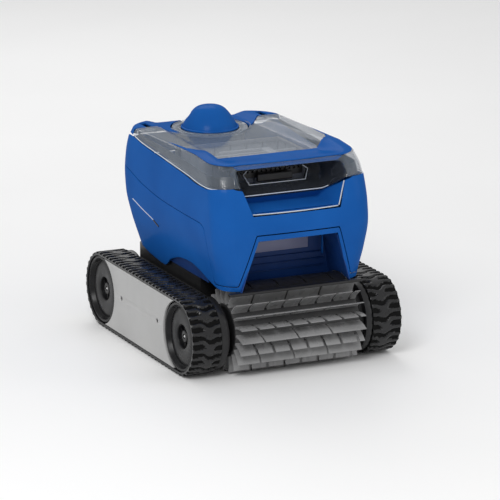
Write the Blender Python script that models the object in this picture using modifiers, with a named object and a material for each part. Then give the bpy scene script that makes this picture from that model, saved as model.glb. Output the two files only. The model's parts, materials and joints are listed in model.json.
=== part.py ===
"""Tracked robotic pool cleaner, modelled as an assembly of separate pieces.

Frame: +Z up, the front (brush) towards -Y, +X to the right seen from the front.
The origin is on the floor under the middle of the machine.
Every size below is in millimetres; MM turns them into metres as meshes are made.
"""
import math

import bmesh
import bpy
from mathutils import Matrix, Vector

MM = 0.001

# ---- driving dimensions --------------------------------------------------------------------
# Tracks
WHEEL_BASE = 309.0
TRACK_RADIUS = 61.4          # outside of the lugs, so also the wheel centre's height
LUG_HEIGHT = 3.0
LUG_COUNT = 74
BELT_THICKNESS = 3.0         # below the lugs
TRACK_INNER_X = 131.0
TRACK_OUTER_X = 180.0
WHEEL_RADIUS = 54.9
FLANGE_RADIUS = 57.5
FLANGE_X = (119.6, 129.6)
SIDE_FRAME_X = (113.0, 118.5)
PANEL_THICKNESS = 3.6
PANEL_SCREW_Y = (-74.0, 68.0)
AXLE_RADIUS = 6.4
SCREW_HEAD_RADIUS = 9.5

# Gears that take the drive from the motors to the rear wheels, and from the front right wheel
# to the brush: a small pinion inside each wheel flange's ring of teeth
GEAR_MODULE = 2.0
PINION_TEETH = 8
RING_TEETH = 25
GEAR_OFFSET = GEAR_MODULE * (RING_TEETH - PINION_TEETH) / 2
GEAR_ANGLE = math.radians(156.0)   # from +Y towards +Z, wheel centre to pinion centre

# Brush
BRUSH_RADIUS = 67.0
BRUSH_TUBE_RADIUS = 42.0
BRUSH_BORE_RADIUS = 38.0
BRUSH_HALF_LENGTH = 107.0
BLADE_ROWS = 20
BLADE_THICKNESS = 2.2
SHROUD_RADIUS = 68.6
SHROUD_HALF_WIDTH = 92.0
SHROUD_LIP = ((-114.0, -207.5, 130.4), (114.0, -199.0, 134.9))   # bar that carries the legs' tips

# Body shell: height, half width, front and rear of the plan outline at the centre line
HOOD_SECTIONS = (
    (118.0, 116.0, -202.0, 156.0),
    (150.0, 122.0, -206.5, 171.0),
    (185.0, 129.0, -211.5, 184.0),
    (225.0, 134.5, -214.5, 193.0),
    (255.0, 135.0, -210.5, 196.0),
    (285.0, 134.0, -203.0, 193.5),
    (310.0, 132.3, -193.0, 187.0),
    (331.0, 128.0, -174.0, 176.0),
)
HOOD_FRONT_CORNER = 32.0
HOOD_REAR_CORNER = 52.0
FRONT_BOW = 7.0              # how far the front's middle stands ahead of its corners
HOOD_THICKNESS = 3.0
LID_THICKNESS = 2.4
SEAM_GAP = 0.5
RIM_GAP = 2.5                # from the body's rim up to the lid and the rear deck
REST_GAP = 0.3               # between pieces that touch

# Lines along the body's side, as (y, height)
HEM_LINE = ((230, 135.5), (121, 135.5), (92, 130), (37, 124.7), (4, 142.4), (-45, 156), (-78, 157.8),
            (-110, 152.5), (-141.5, 143.2), (-170, 137.5), (-188.7, 135.4), (-240, 135.4))
SEAM_LINE = ((230, 272), (152.5, 263.3), (80.5, 247.7), (-2.7, 238.7), (-84, 236.6), (-138, 236),
             (-151, 232), (-157.5, 222), (-160.5, 200), (-162.5, 160), (-164, 146.5), (-168, 143.5),
             (-178, 143.5), (-200, 143.5), (-240, 143.5))
RIM_LINE = ((230, 301), (176, 304), (160, 313), (139, 316.6), (86, 311), (3.3, 305.4), (-78, 299.2),
            (-125.8, 294.5), (-155, 294.5), (-182, 298), (-240, 301.5))

# Openings in the front, as (half width, height)
MOUTH = ((94.5, 128.0), (68.0, 216.0))
MOUTH_SURROUND = ((101.5, 128.0), (71.0, 225.0))
RECESS = ((75.0, 255.0), (88.0, 294.5), (98.5, 297.0), (98.5, 330.0))

# Lid
TROUGH_HEIGHT = 322.5
SHOULDER_HEIGHT = 336.0
LID_END_Y = 131.0            # the lid's rear edge on the shoulders
LID_END_GAP = 3.6
HINGE_Y = 150.0
HINGE_Z = 318.0
HINGE_PIN_RADIUS = 2.5
HINGE_LUG_X = (98.4, 106.0)
OUTLET_Y = 120.0             # the axis of pump, propeller and outlet
OUTLET_NOTCH_RADIUS = 64.0

# The machine's length runs from the brush's front to the rear of the tracks, and the origin is
# under the middle of it
BRUSH_Y = -WHEEL_BASE / 2 + GEAR_OFFSET * math.cos(GEAR_ANGLE)
BRUSH_Z = TRACK_RADIUS + GEAR_OFFSET * math.sin(GEAR_ANGLE)
FRONT_END = BRUSH_Y - BRUSH_RADIUS
REAR_END = WHEEL_BASE / 2 + TRACK_RADIUS
TRACK_CENTRE_Y = -(FRONT_END + REAR_END) / 2

# Turns an object's own x, y, z to world Y, Z, X, for what turns about a left to right axis
SIDEWAYS = (math.pi / 2, 0.0, math.pi / 2)
SIDES = (("left", -1), ("right", 1))
ENDS = (("front", -1), ("rear", 1))


# ---- scene, collections and materials --------------------------------------------------------
for old_object in list(bpy.data.objects):
    bpy.data.objects.remove(old_object, do_unlink=True)

parts = bpy.data.collections.new("pool_cleaner")
cutters = bpy.data.collections.new("cutters")
bpy.context.scene.collection.children.link(parts)
bpy.context.scene.collection.children.link(cutters)

track_centre = bpy.data.objects.new("track_centre", None)
track_centre.location = (0.0, TRACK_CENTRE_Y * MM, 0.0)
parts.objects.link(track_centre)

FINISHES = {
    "shell_blue": ((0.012, 0.075, 0.33, 1.0), 0.28, 0.0),
    "clear_plastic": ((0.62, 0.67, 0.72, 0.35), 0.08, 0.0),
    "panel_grey": ((0.48, 0.48, 0.47, 1.0), 0.38, 0.6),
    "black_plastic": ((0.02, 0.02, 0.022, 1.0), 0.45, 0.0),
    "black_rubber": ((0.025, 0.025, 0.026, 1.0), 0.65, 0.0),
    "brush_grey": ((0.28, 0.28, 0.28, 1.0), 0.5, 0.0),
    "steel": ((0.6, 0.6, 0.6, 1.0), 0.25, 1.0),
    "filter_grey": ((0.2, 0.21, 0.23, 1.0), 0.6, 0.0),
    "foam": ((0.75, 0.74, 0.7, 1.0), 0.9, 0.0),
}


def material_for(node, finish):
    """A Principled material of the node's own, with the finish's colour, roughness and metal."""
    colour, roughness, metallic = FINISHES[finish]
    material = bpy.data.materials.new(node + "_material")
    material.use_nodes = True
    shader = material.node_tree.nodes["Principled BSDF"]
    shader.inputs["Base Color"].default_value = colour
    shader.inputs["Roughness"].default_value = roughness
    shader.inputs["Metallic"].default_value = metallic
    shader.inputs["Alpha"].default_value = colour[3]
    return material


def place(name, data, finish, location=(0, 0, 0), rotation=(0, 0, 0)):
    """Adds an object to the machine; a finish of None makes it a hidden cutter."""
    piece = bpy.data.objects.new(name, data)
    piece.location = Vector(location) * MM
    piece.rotation_euler = rotation
    piece.parent = track_centre
    if finish is None:
        cutters.objects.link(piece)
        piece.hide_render = True
        piece.display_type = "WIRE"
    else:
        parts.objects.link(piece)
        data.materials.append(material_for(name, finish))
    return piece


# ---- shapes ----------------------------------------------------------------------------------
def mesh_from(name, build):
    """A mesh filled by build(bm), which works in millimetres."""
    bm = bmesh.new()
    build(bm)
    bmesh.ops.scale(bm, vec=(MM, MM, MM), verts=bm.verts)
    mesh = bpy.data.meshes.new(name)
    bm.to_mesh(mesh)
    bm.free()
    return mesh


def box(name, finish, low, high):
    """A box from its lowest to its highest corner."""
    size = [top - bottom for bottom, top in zip(low, high)]
    centre = [(top + bottom) / 2 for bottom, top in zip(low, high)]

    def build(bm):
        bmesh.ops.create_cube(bm, size=1.0)
        bmesh.ops.scale(bm, vec=size, verts=bm.verts)

    return place(name, mesh_from(name, build), finish, centre)


def cylinder(name, finish, radius, length, location, rotation=(0, 0, 0), steps=32, top_radius=None):
    """A cylinder or cone about its own z, centred on its location."""
    def build(bm):
        bmesh.ops.create_cone(bm, cap_ends=True, segments=steps, radius1=radius,
                              radius2=radius if top_radius is None else top_radius, depth=length)

    return place(name, mesh_from(name, build), finish, location, rotation)


def turned(name, finish, profile, location, rotation=(0, 0, 0), steps=32):
    """Turns a profile of (radius, height) points about z.

    The outer side runs from top to bottom. A profile that starts or ends off the axis is closed.
    """
    def build(bm):
        points = [bm.verts.new((radius, 0.0, height)) for radius, height in profile]
        for first, second in zip(points, points[1:]):
            bm.edges.new((first, second))
        if profile[0][0] > 0 and profile[-1][0] > 0:
            bm.edges.new((points[-1], points[0]))

    piece = place(name, mesh_from(name, build), finish, location, rotation)
    screw = piece.modifiers.new("turn", "SCREW")
    screw.steps = steps
    screw.render_steps = steps
    screw.use_merge_vertices = True
    screw.merge_threshold = 0.00001
    return piece


def flat(name, finish, outlines, thickness, location, rotation=(0, 0, 0)):
    """A flat outline, with any holes as further outlines, thickened evenly about its plane."""
    curve = bpy.data.curves.new(name, "CURVE")
    curve.dimensions = "2D"
    curve.fill_mode = "BOTH"
    curve.extrude = thickness / 2 * MM
    for outline in outlines:
        spline = curve.splines.new("POLY")
        spline.points.add(len(outline) - 1)
        for point, (x, y) in zip(spline.points, outline):
            point.co = (x * MM, y * MM, 0.0, 1.0)
        spline.use_cyclic_u = True
    return place(name, curve, finish, location, rotation)


def as_mesh(piece):
    """Replaces a curve object with a welded mesh object of the same name and place."""
    bpy.context.view_layer.update()
    evaluated = piece.evaluated_get(bpy.context.evaluated_depsgraph_get())
    mesh = bpy.data.meshes.new_from_object(evaluated)
    bm = bmesh.new()
    bm.from_mesh(mesh)
    bmesh.ops.remove_doubles(bm, verts=bm.verts, dist=0.00001)
    bmesh.ops.recalc_face_normals(bm, faces=bm.faces)
    bm.to_mesh(mesh)
    bm.free()
    name = piece.name
    world = piece.matrix_world.copy()
    home = piece.users_collection[0]
    hidden = piece.hide_render
    materials = list(piece.data.materials)
    bpy.data.objects.remove(piece, do_unlink=True)
    mesh.materials.clear()
    for material in materials:
        mesh.materials.append(material)
    solid = bpy.data.objects.new(name, mesh)
    home.objects.link(solid)
    solid.parent = track_centre
    solid.matrix_parent_inverse = track_centre.matrix_world.inverted()
    solid.matrix_world = world
    solid.hide_render = hidden
    solid.display_type = "WIRE" if hidden else "TEXTURED"
    return solid


def boolean(piece, cutter, operation="DIFFERENCE"):
    modifier = piece.modifiers.new(operation.lower(), "BOOLEAN")
    modifier.operation = operation
    modifier.solver = "EXACT"
    modifier.object = cutter
    return piece


def mirror(piece):
    """Completes a right half that is open at the middle plane."""
    modifier = piece.modifiers.new("mirror", "MIRROR")
    modifier.use_clip = True
    modifier.merge_threshold = 0.00001


def solidify(piece, thickness, offset=-1.0):
    modifier = piece.modifiers.new("wall", "SOLIDIFY")
    modifier.thickness = thickness * MM
    modifier.offset = offset
    modifier.use_even_offset = True


def bevel(piece, width, segments=2):
    modifier = piece.modifiers.new("round", "BEVEL")
    modifier.width = width * MM
    modifier.segments = segments
    modifier.limit_method = "ANGLE"
    modifier.angle_limit = math.radians(40)


def surface(name, finish, faces_of):
    """An open surface whose faces are lists of (x, y, z) corners; equal corners are welded."""
    def build(bm):
        for corners in faces_of:
            bm.faces.new([bm.verts.new(corner) for corner in corners])
        bmesh.ops.remove_doubles(bm, verts=bm.verts, dist=0.01)

    return place(name, mesh_from(name, build), finish)


def grid_faces(rows):
    """The four-cornered faces between neighbouring rows of points."""
    return [(upper[i], upper[i + 1], lower[i + 1], lower[i])
            for upper, lower in zip(rows, rows[1:]) for i in range(len(upper) - 1)]


def side_prism(name, outline, half_width=200.0):
    """A hidden cutter whose (y, z) outline runs across the whole machine."""
    cutter = flat(name, None, [outline], 2 * half_width, (0, 0, 0), SIDEWAYS)
    return as_mesh(cutter)


def front_prism(name, outline, y_range):
    """A hidden cutter whose (x, z) outline runs from front to rear."""
    middle = (y_range[0] + y_range[1]) / 2
    cutter = flat(name, None, [outline], y_range[1] - y_range[0], (0, middle, 0), (math.pi / 2, 0, 0))
    return as_mesh(cutter)


def mirrored_outline(half):
    """The whole outline from its right half, listed from bottom to top."""
    return list(half) + [(-x, z) for x, z in reversed(half)]


# ---- outlines --------------------------------------------------------------------------------
def between(knots, at):
    """The value at a place on a line through (place, value) knots."""
    ordered = sorted(knots)
    if at <= ordered[0][0]:
        return ordered[0][1]
    for (low, low_value), (high, high_value) in zip(ordered, ordered[1:]):
        if at <= high:
            return low_value + (high_value - low_value) * (at - low) / (high - low)
    return ordered[-1][1]


def ease(low, high, at):
    """0 below low, 1 above high, and a smooth step between."""
    share = min(max((at - low) / (high - low), 0.0), 1.0)
    return share * share * (3 - 2 * share)


def hood_at(height):
    """Half width, front and rear of the body's outline at a height."""
    return [between([(section[0], section[column]) for section in HOOD_SECTIONS], height)
            for column in (1, 2, 3)]


def half_width_at(y, height):
    """Half width of the body at a place along it, with its rounded corners."""
    half_width, front, rear = hood_at(height)
    into_front = max(front + HOOD_FRONT_CORNER - y, 0.0)
    into_rear = max(y - (rear - HOOD_REAR_CORNER), 0.0)
    if into_front > 0:
        corner, into = HOOD_FRONT_CORNER, into_front
    else:
        corner, into = HOOD_REAR_CORNER, into_rear
    return half_width - corner + math.sqrt(max(corner ** 2 - into ** 2, 0.0))


def bowed(y, x, height):
    """Moves a point near the front to the bowed face."""
    half_width, front, _ = hood_at(height)
    nearness = 1.0 - ease(front, front + 80.0, y)
    return y + FRONT_BOW * nearness * (x / half_width) ** 2


def racetrack(radius, steps):
    """Outline of a belt around both wheels, about the point midway between them."""
    points = []
    for end in (1, -1):
        for step in range(steps + 1):
            angle = -math.pi / 2 + math.pi * step / steps
            points.append((end * (WHEEL_BASE / 2 + radius * math.cos(angle)), end * radius * math.sin(angle)))
    return points


def circle(radius, steps, centre=(0.0, 0.0)):
    return [(centre[0] + radius * math.cos(2 * math.pi * step / steps),
             centre[1] + radius * math.sin(2 * math.pi * step / steps)) for step in range(steps)]


def lugged_racetrack():
    """Outer outline of a belt: lugs at an even pitch along the whole loop."""
    straight = WHEEL_BASE
    root = TRACK_RADIUS - LUG_HEIGHT
    arc = math.pi * root
    pitch = 2 * (straight + arc) / LUG_COUNT
    points = []
    for lug in range(LUG_COUNT):
        for share, lift in ((0.1, LUG_HEIGHT), (0.65, LUG_HEIGHT), (0.85, 0.0)):
            run = (lug + share) * pitch
            radius = root + lift
            side = 1
            if run >= straight + arc:
                run -= straight + arc
                side = -1
            if run < straight:
                points.append((side * (run - straight / 2), -side * radius))
            else:
                angle = -math.pi / 2 + (run - straight) / root
                points.append((side * (straight / 2 + radius * math.cos(angle)), side * radius * math.sin(angle)))
    return points


def gear_outline(teeth, root, tip, first_angle, width_share):
    """Teeth with flat tips and straight flanks; first_angle is the first tooth's centre."""
    points = []
    for tooth in range(teeth):
        centre = first_angle + 2 * math.pi * tooth / teeth
        pitch = 2 * math.pi / teeth
        for shift, radius in ((-width_share, root), (-width_share * 0.5, tip),
                              (width_share * 0.5, tip), (width_share, root)):
            angle = centre + shift * pitch / 2
            points.append((radius * math.cos(angle), radius * math.sin(angle)))
    return points


def smooth_line(line, step=12.0):
    """A (y, z) line with its long stretches divided and gently rounded."""
    points = []
    count = len(line)
    for i in range(count - 1):
        before, start = line[max(i - 1, 0)], line[i]
        end, after = line[i + 1], line[min(i + 2, count - 1)]
        pieces = max(1, round(math.dist(start, end) / step))
        for piece in range(pieces):
            t = piece / pieces
            points.append(tuple(
                0.5 * (2 * b + (c - a) * t + (2 * a - 5 * b + 4 * c - d) * t * t
                       + (3 * b - a - 3 * c + d) * t ** 3)
                for a, b, c, d in zip(before, start, end, after)))
    points.append(line[-1])
    return points


# ---- body shells -----------------------------------------------------------------------------
def half_plan(height):
    """Right half of the body's outline at a height, from the front's middle to the rear's."""
    half_width, front, rear = hood_at(height)
    front_x = half_width - HOOD_FRONT_CORNER
    rear_x = half_width - HOOD_REAR_CORNER
    points = [(front_x * i / 3, front) for i in range(3)]
    for i in range(5):
        angle = math.pi / 2 * i / 4
        points.append((front_x + HOOD_FRONT_CORNER * math.sin(angle),
                       front + HOOD_FRONT_CORNER * (1 - math.cos(angle))))
    side_start = front + HOOD_FRONT_CORNER
    side_end = rear - HOOD_REAR_CORNER
    points += [(half_width, side_start + (side_end - side_start) * i / 6) for i in range(1, 6)]
    for i in range(5):
        angle = math.pi / 2 * i / 4
        points.append((rear_x + HOOD_REAR_CORNER * math.cos(angle),
                       side_end + HOOD_REAR_CORNER * math.sin(angle)))
    points += [(rear_x * (1 - i / 2), rear) for i in range(1, 3)]
    return [(x, bowed(y, x, height), height) for x, y in points]


def hood_tube(name):
    """The whole body wall as a tube, before it is trimmed and parted."""
    rows = [half_plan(section[0]) for section in HOOD_SECTIONS]
    hood = surface(name, "shell_blue", grid_faces(rows))
    mirror(hood)
    solidify(hood, HOOD_THICKNESS)
    return hood


def below(line, lift, floor=60.0):
    """Outline of everything under a side line moved up and forwards by lift."""
    raised = [(y - lift, z + lift) for y, z in smooth_line(line)]
    return raised + [(raised[-1][0], floor), (raised[0][0], floor)]


def above(line, lift, ceiling=400.0):
    raised = [(y, z + lift) for y, z in smooth_line(line)]
    return raised + [(raised[-1][0], ceiling), (raised[0][0], ceiling)]


def lower_region(name, grow):
    """Cutter that holds all of the body below the seam, with the mouth's surround."""
    region = side_prism(name, below(SEAM_LINE, grow))
    (foot_x, foot_z), (top_x, top_z) = MOUTH_SURROUND
    half = [(foot_x + grow, foot_z), (top_x + grow, top_z + grow)]
    surround = front_prism(name + "_surround", mirrored_outline(half), (-235.0, -185.0))
    return boolean(region, surround, "UNION")


def make_hood():
    hem_cutter = side_prism("hem_cutter", below(HEM_LINE, 0.0))
    rim_cutter = side_prism("rim_cutter", above(RIM_LINE, -SEAM_GAP / 2))
    mouth_cutter = front_prism("mouth_cutter", mirrored_outline(MOUTH), (-240.0, -150.0))
    recess_cutter = front_prism("recess_cutter", mirrored_outline(RECESS), (-240.0, -178.0))

    upper = hood_tube("hood_upper")
    boolean(upper, lower_region("under_upper", SEAM_GAP))
    boolean(upper, rim_cutter)
    boolean(upper, recess_cutter)

    lower = hood_tube("hood_lower")
    boolean(lower, lower_region("around_lower", 0.0), "INTERSECT")
    boolean(lower, hem_cutter)
    boolean(lower, mouth_cutter)


def top_height(x, y):
    """Height of the top surface: a sunk trough between two raised shoulders."""
    floor_half = 84.0 - 0.06 * (y + 105.0)
    shoulder_half = floor_half + 22.0
    floor = TROUGH_HEIGHT + 7.0 * ease(-105.0, -178.0, y)
    shoulder = SHOULDER_HEIGHT - 0.028 * (y + 100.0) if y > -100 else SHOULDER_HEIGHT - 0.08 * (-100.0 - y)
    return floor + (shoulder - floor) * ease(floor_half, shoulder_half, abs(x))


CAP_COLUMNS = (0.0, 0.25, 0.5, 0.66, 0.76, 0.86, 0.94, 1.0)
CAP_STATIONS = (0.0, 0.03, 0.07, 0.13, 0.22, 0.37, 0.523, 0.7, 0.8, 0.87, 0.94, 1.0)
CAP_LEVELS = 4
# The recess's wall under the bezel, from the top row down, as (half width, y, height)
RECESS_WALL = ((92.0, -174.0, 328.5), (86.0, -173.0, 321.5), (77.0, -123.0, 308.0),
               (74.0, -134.0, 286.0), (66.0, -155.0, 274.0))


def cap_point(station, column, level):
    """A point of the cap: its top is level 0, and its walls reach the rim at CAP_LEVELS."""
    share = CAP_STATIONS[station]
    edge = between([(0.0, 328.5), (0.1, 330.0), (0.5, 332.5), (1.0, 327.0)], share)
    _, front, rear = hood_at(edge)
    y = front + share * (rear - front)
    if level == 0:
        x = CAP_COLUMNS[column] * half_width_at(y, edge)
        height = edge if column == len(CAP_COLUMNS) - 1 else top_height(x, y)
        return (x, bowed(y, x, edge), height)
    rim = between(smooth_line(RIM_LINE), y) + RIM_GAP
    height = edge + (rim - edge) * level / CAP_LEVELS
    _, front, rear = hood_at(height)
    y = front + share * (rear - front)
    x = CAP_COLUMNS[column] * half_width_at(y, height)
    y = bowed(y, x, height)
    if station == 0:
        reach, recess_y, recess_height = RECESS_WALL[level]
        sunk = 1.0 - ease(reach, 92.5, x)
        y += (recess_y - y) * sunk
        height += (recess_height - height) * sunk
    return (x, y, height)


def cap(name, finish):
    """Top cover over the whole body, before the lid and the rear deck are parted."""
    columns = range(len(CAP_COLUMNS))
    stations = range(len(CAP_STATIONS))
    levels = range(CAP_LEVELS + 1)
    last_column = len(CAP_COLUMNS) - 1
    last_station = len(CAP_STATIONS) - 1
    top = [[cap_point(i, j, 0) for j in columns] for i in stations]
    side = [[cap_point(i, last_column, k) for i in reversed(stations)] for k in levels]
    front = [[cap_point(0, j, k) for j in reversed(columns)] for k in levels]
    rear = [[cap_point(last_station, j, k) for j in columns] for k in levels]
    cover = surface(name, finish, grid_faces(top) + grid_faces(side) + grid_faces(front) + grid_faces(rear))
    flip_faces(cover)
    mirror(cover)
    solidify(cover, LID_THICKNESS)
    return cover


def flip_faces(piece):
    """Turns a surface's faces so that all of them look outwards and up."""
    bm = bmesh.new()
    bm.from_mesh(piece.data)
    bmesh.ops.recalc_face_normals(bm, faces=bm.faces)
    if sum(face.normal.z * face.calc_area() for face in bm.faces) < 0:
        bmesh.ops.reverse_faces(bm, faces=bm.faces)
    bm.to_mesh(piece.data)
    bm.free()


def rear_region(name, grow):
    """Cutter that holds the cap behind the lid's rear edge."""
    end = LID_END_Y - grow
    half = [(65.0, 102.0 - grow), (90.0, end), (200.0, end), (200.0, 260.0)]
    region = flat(name, None, [mirrored_outline(half)], 200.0, (0, 0, 330.0))
    return as_mesh(region)


def make_lid():
    grip = [(47.3, 288.0), (54.3, 300.5), (46.7, 306.0)]
    grip_cutter = front_prism("grip_cutter", mirrored_outline(grip), (-150.0, -110.0))
    notch = cylinder("outlet_notch", None, OUTLET_NOTCH_RADIUS, 80.0, (0, OUTLET_Y, 330.0), steps=32)
    lid = cap("lid_clear", "clear_plastic")
    boolean(lid, rear_region("behind_lid", LID_END_GAP))
    for side_name, side in SIDES:
        middle = side * sum(HINGE_LUG_X) / 2
        eye = circle(6.0, 16, (HINGE_Y, HINGE_Z))
        back = [point for point in eye if point[0] > HINGE_Y - 2.0]
        back.sort(key=lambda point: point[1])
        arm = back + [(125.0, 328.6), (108.0, 328.9), (108.0, 322.0)]
        hole = circle(HINGE_PIN_RADIUS + 0.12, 16, (HINGE_Y, HINGE_Z))
        width = HINGE_LUG_X[1] - HINGE_LUG_X[0]
        lug = as_mesh(flat("hinge_lug_" + side_name, None, [arm, hole], width, (middle, 0, 0), SIDEWAYS))
        boolean(lid, lug, "UNION")
    boolean(lid, notch)
    boolean(lid, grip_cutter)


def make_rear_deck():
    deck = cap("rear_deck", "shell_blue")
    boolean(deck, rear_region("under_deck", 0.0), "INTERSECT")
    notch = cylinder("deck_notch", None, OUTLET_NOTCH_RADIUS, 80.0, (0, OUTLET_Y, 330.0), steps=32)
    boolean(deck, notch)
    for side_name, side in SIDES:
        middle = side * sum(HINGE_LUG_X) / 2
        slot = box("hinge_slot_" + side_name, None, (middle - 5.5, 120.0, 300.0), (middle + 5.5, 159.0, 345.0))
        boolean(deck, slot)


BEZEL_LIFT = 0.5
BEZEL_THICKNESS = 1.6
BEZEL_END_STATION = 4
BEZEL_EDGE_SHARE = 0.8       # of the way from the last column but one to the edge


def bezel_point(station, column):
    """A point of the bezel's underside, on the lid's own facets."""
    x, y, z = cap_point(station, column, 0)
    if column == len(CAP_COLUMNS) - 1:
        inner = cap_point(station, column - 1, 0)
        x, y, z = [a + (b - a) * BEZEL_EDGE_SHARE for a, b in zip(inner, (x, y, z))]
    return (x, y, z + BEZEL_LIFT)


def make_bezel():
    """U-shaped trim: a bar across the lid's front and a tapering arm along each shoulder."""
    columns = range(len(CAP_COLUMNS))
    bar = [[bezel_point(station, column) for column in columns] for station in range(BEZEL_END_STATION + 1)]
    inner, middle, outer = len(CAP_COLUMNS) - 3, len(CAP_COLUMNS) - 2, len(CAP_COLUMNS) - 1
    start, half_way, tip = BEZEL_END_STATION, BEZEL_END_STATION + 1, BEZEL_END_STATION + 2
    arm = [(bezel_point(start, inner), bezel_point(start, middle), bezel_point(half_way, middle)),
           (bezel_point(start, middle), bezel_point(start, outer), bezel_point(half_way, outer),
            bezel_point(half_way, middle)),
           (bezel_point(half_way, middle), bezel_point(half_way, outer), bezel_point(tip, outer))]
    bezel = surface("lid_bezel", "shell_blue", grid_faces(bar) + arm)
    flip_faces(bezel)
    mirror(bezel)
    solidify(bezel, BEZEL_THICKNESS, 1.0)


def make_lid_catch():
    """Sprung finger catch behind the grip opening's lower lip."""
    catch = box("lid_catch", "black_plastic", (-30.0, -128.0, 288.0), (30.0, -121.5, 300.0))
    bevel(catch, 1.5)


def make_front_scoop():
    """Floor, back and cheeks of the hand recess under the lid's front."""
    front_inner, front_corner, front_top = (0.0, -206.0, 256.0), (74.0, -201.0, 256.5), (87.5, -192.0, 293.0)
    floor_inner, floor_corner = (0.0, -141.0, 259.0), (66.0, -141.0, 259.0)
    cheek_top = (89.0, -181.0, 289.0)
    back_inner, back_corner = (0.0, -149.0, 269.0), (67.5, -149.0, 269.0)
    faces = [(front_inner, front_corner, floor_corner, floor_inner),
             (front_corner, front_top, cheek_top, floor_corner),
             (floor_inner, floor_corner, back_corner, back_inner),
             (floor_corner, cheek_top, back_corner)]
    scoop = surface("front_scoop", "shell_blue", faces)
    flip_faces(scoop)
    mirror(scoop)
    solidify(scoop, 2.0)


def make_mouth_liner():
    """Cheeks, roof and back of the space behind the mouth; its floor is the brush shroud."""
    front = [(91.0, -197.0, 141.0), (67.5, -201.0, 213.5), (0.0, -205.0, 213.5)]
    back = [(92.0, -127.0, 141.0), (80.0, -127.0, 204.0), (0.0, -127.0, 204.0)]
    back_foot = (0.0, -127.0, 141.0)
    faces = grid_faces([front, back]) + [(back[0], back[1], back[2], back_foot)]
    liner = surface("mouth_liner", "shell_blue", faces)
    mirror(liner)
    solidify(liner, 2.0, 1.0)


def make_outlet():
    """Duct around the propeller, its grille, and the cowl that turns the jet to the rear."""
    turned("outlet_duct", "black_plastic",
           [(56.0, 317.0), (56.0, 262.0), (52.0, 262.0), (52.0, 317.0)], (0, OUTLET_Y, 0), steps=32)
    spokes = [circle(61.5, 32)]
    for ring in range(8):
        start = 2 * math.pi * ring / 8
        slot = [(radius * math.cos(start + side * 0.3), radius * math.sin(start + side * 0.3))
                for side, radius in ((-1, 22.0), (1, 22.0), (1, 48.0), (-1, 48.0))]
        spokes.append(slot)
    flat("outlet_grille", "black_plastic", spokes, 2.4, (0, OUTLET_Y, 318.8))

    profile = [(0.0, 357.6), (12.0, 357.0), (19.0, 355.2), (25.0, 351.4), (31.0, 345.0), (36.5, 337.5),
               (41.5, 329.5), (44.5, 322.0), (42.2, 322.0), (39.0, 329.5), (34.2, 336.5), (29.0, 343.5),
               (23.5, 349.3), (17.5, 353.0), (11.0, 354.7), (0.0, 355.2)]
    cowl = turned("outlet_cowl", "shell_blue", profile, (0, OUTLET_Y, 0), steps=24)
    rear_mouth = box("cowl_mouth", None, (-34.0, OUTLET_Y + 8.0, 326.0), (34.0, OUTLET_Y + 60.0, 346.0))
    boolean(cowl, rear_mouth)


# ---- chassis ---------------------------------------------------------------------------------
def pan_outline(inset):
    """Plan of the base pan, square at the front and rounded at the rear like the body."""
    half, front, rear, corner = 112.6 - inset, -92.0 + inset, 157.0 - inset, 12.0 - inset
    right = [(half, front)]
    for step in range(7):
        angle = math.pi / 2 * step / 6
        right.append((half - corner * (1 - math.cos(angle)), rear - corner * (1 - math.sin(angle))))
    return mirrored_outline(right)


def make_base_pan():
    pan = as_mesh(flat("base_pan", "black_plastic", [pan_outline(0.0)], 122.0, (0, 0, 73.0)))
    hollow = as_mesh(flat("pan_hollow", None, [pan_outline(3.0)], 200.0, (0, 0, 115.0)))
    inlet = box("inlet_hole", None, (-52.0, -58.0, 5.0), (52.0, -24.0, 30.0))
    boolean(pan, hollow)
    boolean(pan, inlet)
    for side_name, side in SIDES:
        pinion_y = WHEEL_BASE / 2 + GEAR_OFFSET * math.cos(GEAR_ANGLE)
        hole = cylinder("motor_port_" + side_name, None, 8.0, 20.0, (side * 111.0, pinion_y, BRUSH_Z), SIDEWAYS)
        boolean(pan, hole)


def make_front_deck():
    """Slotted shroud over the brush, a thin arch with a bar along its front under the legs."""
    arc = []
    for step in range(9):
        angle = math.radians(34.0 + 82.0 * step / 8)
        arc.append((BRUSH_Y + SHROUD_RADIUS * math.cos(angle), BRUSH_Z + SHROUD_RADIUS * math.sin(angle)))
    rows = [[(x, y, z) for y, z in arc] for x in (SHROUD_HALF_WIDTH, -SHROUD_HALF_WIDTH)]
    deck = surface("front_deck", "black_plastic", grid_faces(rows))
    flip_faces(deck)
    solidify(deck, 2.2, 1.0)
    boolean(deck, box("shroud_lip", None, *SHROUD_LIP), "UNION")
    for number, x in enumerate((-69.0, -23.0, 23.0, 69.0)):
        slit = box("deck_slit_%d" % number, None, (x - 1.2, BRUSH_Y - 22.0, BRUSH_Z + 50.0),
                   (x + 1.2, BRUSH_Y + 16.0, BRUSH_Z + 90.0))
        boolean(deck, slit)


def make_side_frames():
    """Plate that carries the axles, and the guide block between the wheels inside the belt."""
    reach = WHEEL_BASE / 2
    clearance = FLANGE_RADIUS + 1.8
    for side_name, side in SIDES:
        rear_gear = (reach + GEAR_OFFSET * math.cos(GEAR_ANGLE), GEAR_OFFSET * math.sin(GEAR_ANGLE))
        front_gear = (rear_gear[0] - WHEEL_BASE, rear_gear[1])
        holes = [circle(5.5, 16, front_gear), circle(3.6, 12, rear_gear)]
        plate = flat("side_frame_" + side_name, "black_plastic", [racetrack(49.0, 10)] + holes,
                     SIDE_FRAME_X[1] - SIDE_FRAME_X[0],
                     (side * sum(SIDE_FRAME_X) / 2, 0, TRACK_RADIUS), SIDEWAYS)
        plate = as_mesh(plate)
        block_x = (SIDE_FRAME_X[1] - 1.0, 174.0)
        block = flat("guide_block_" + side_name, None, [panel_outline(clearance, 53.0)],
                     block_x[1] - block_x[0], (side * sum(block_x) / 2, 0, TRACK_RADIUS), SIDEWAYS)
        boolean(plate, as_mesh(block), "UNION")


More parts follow.
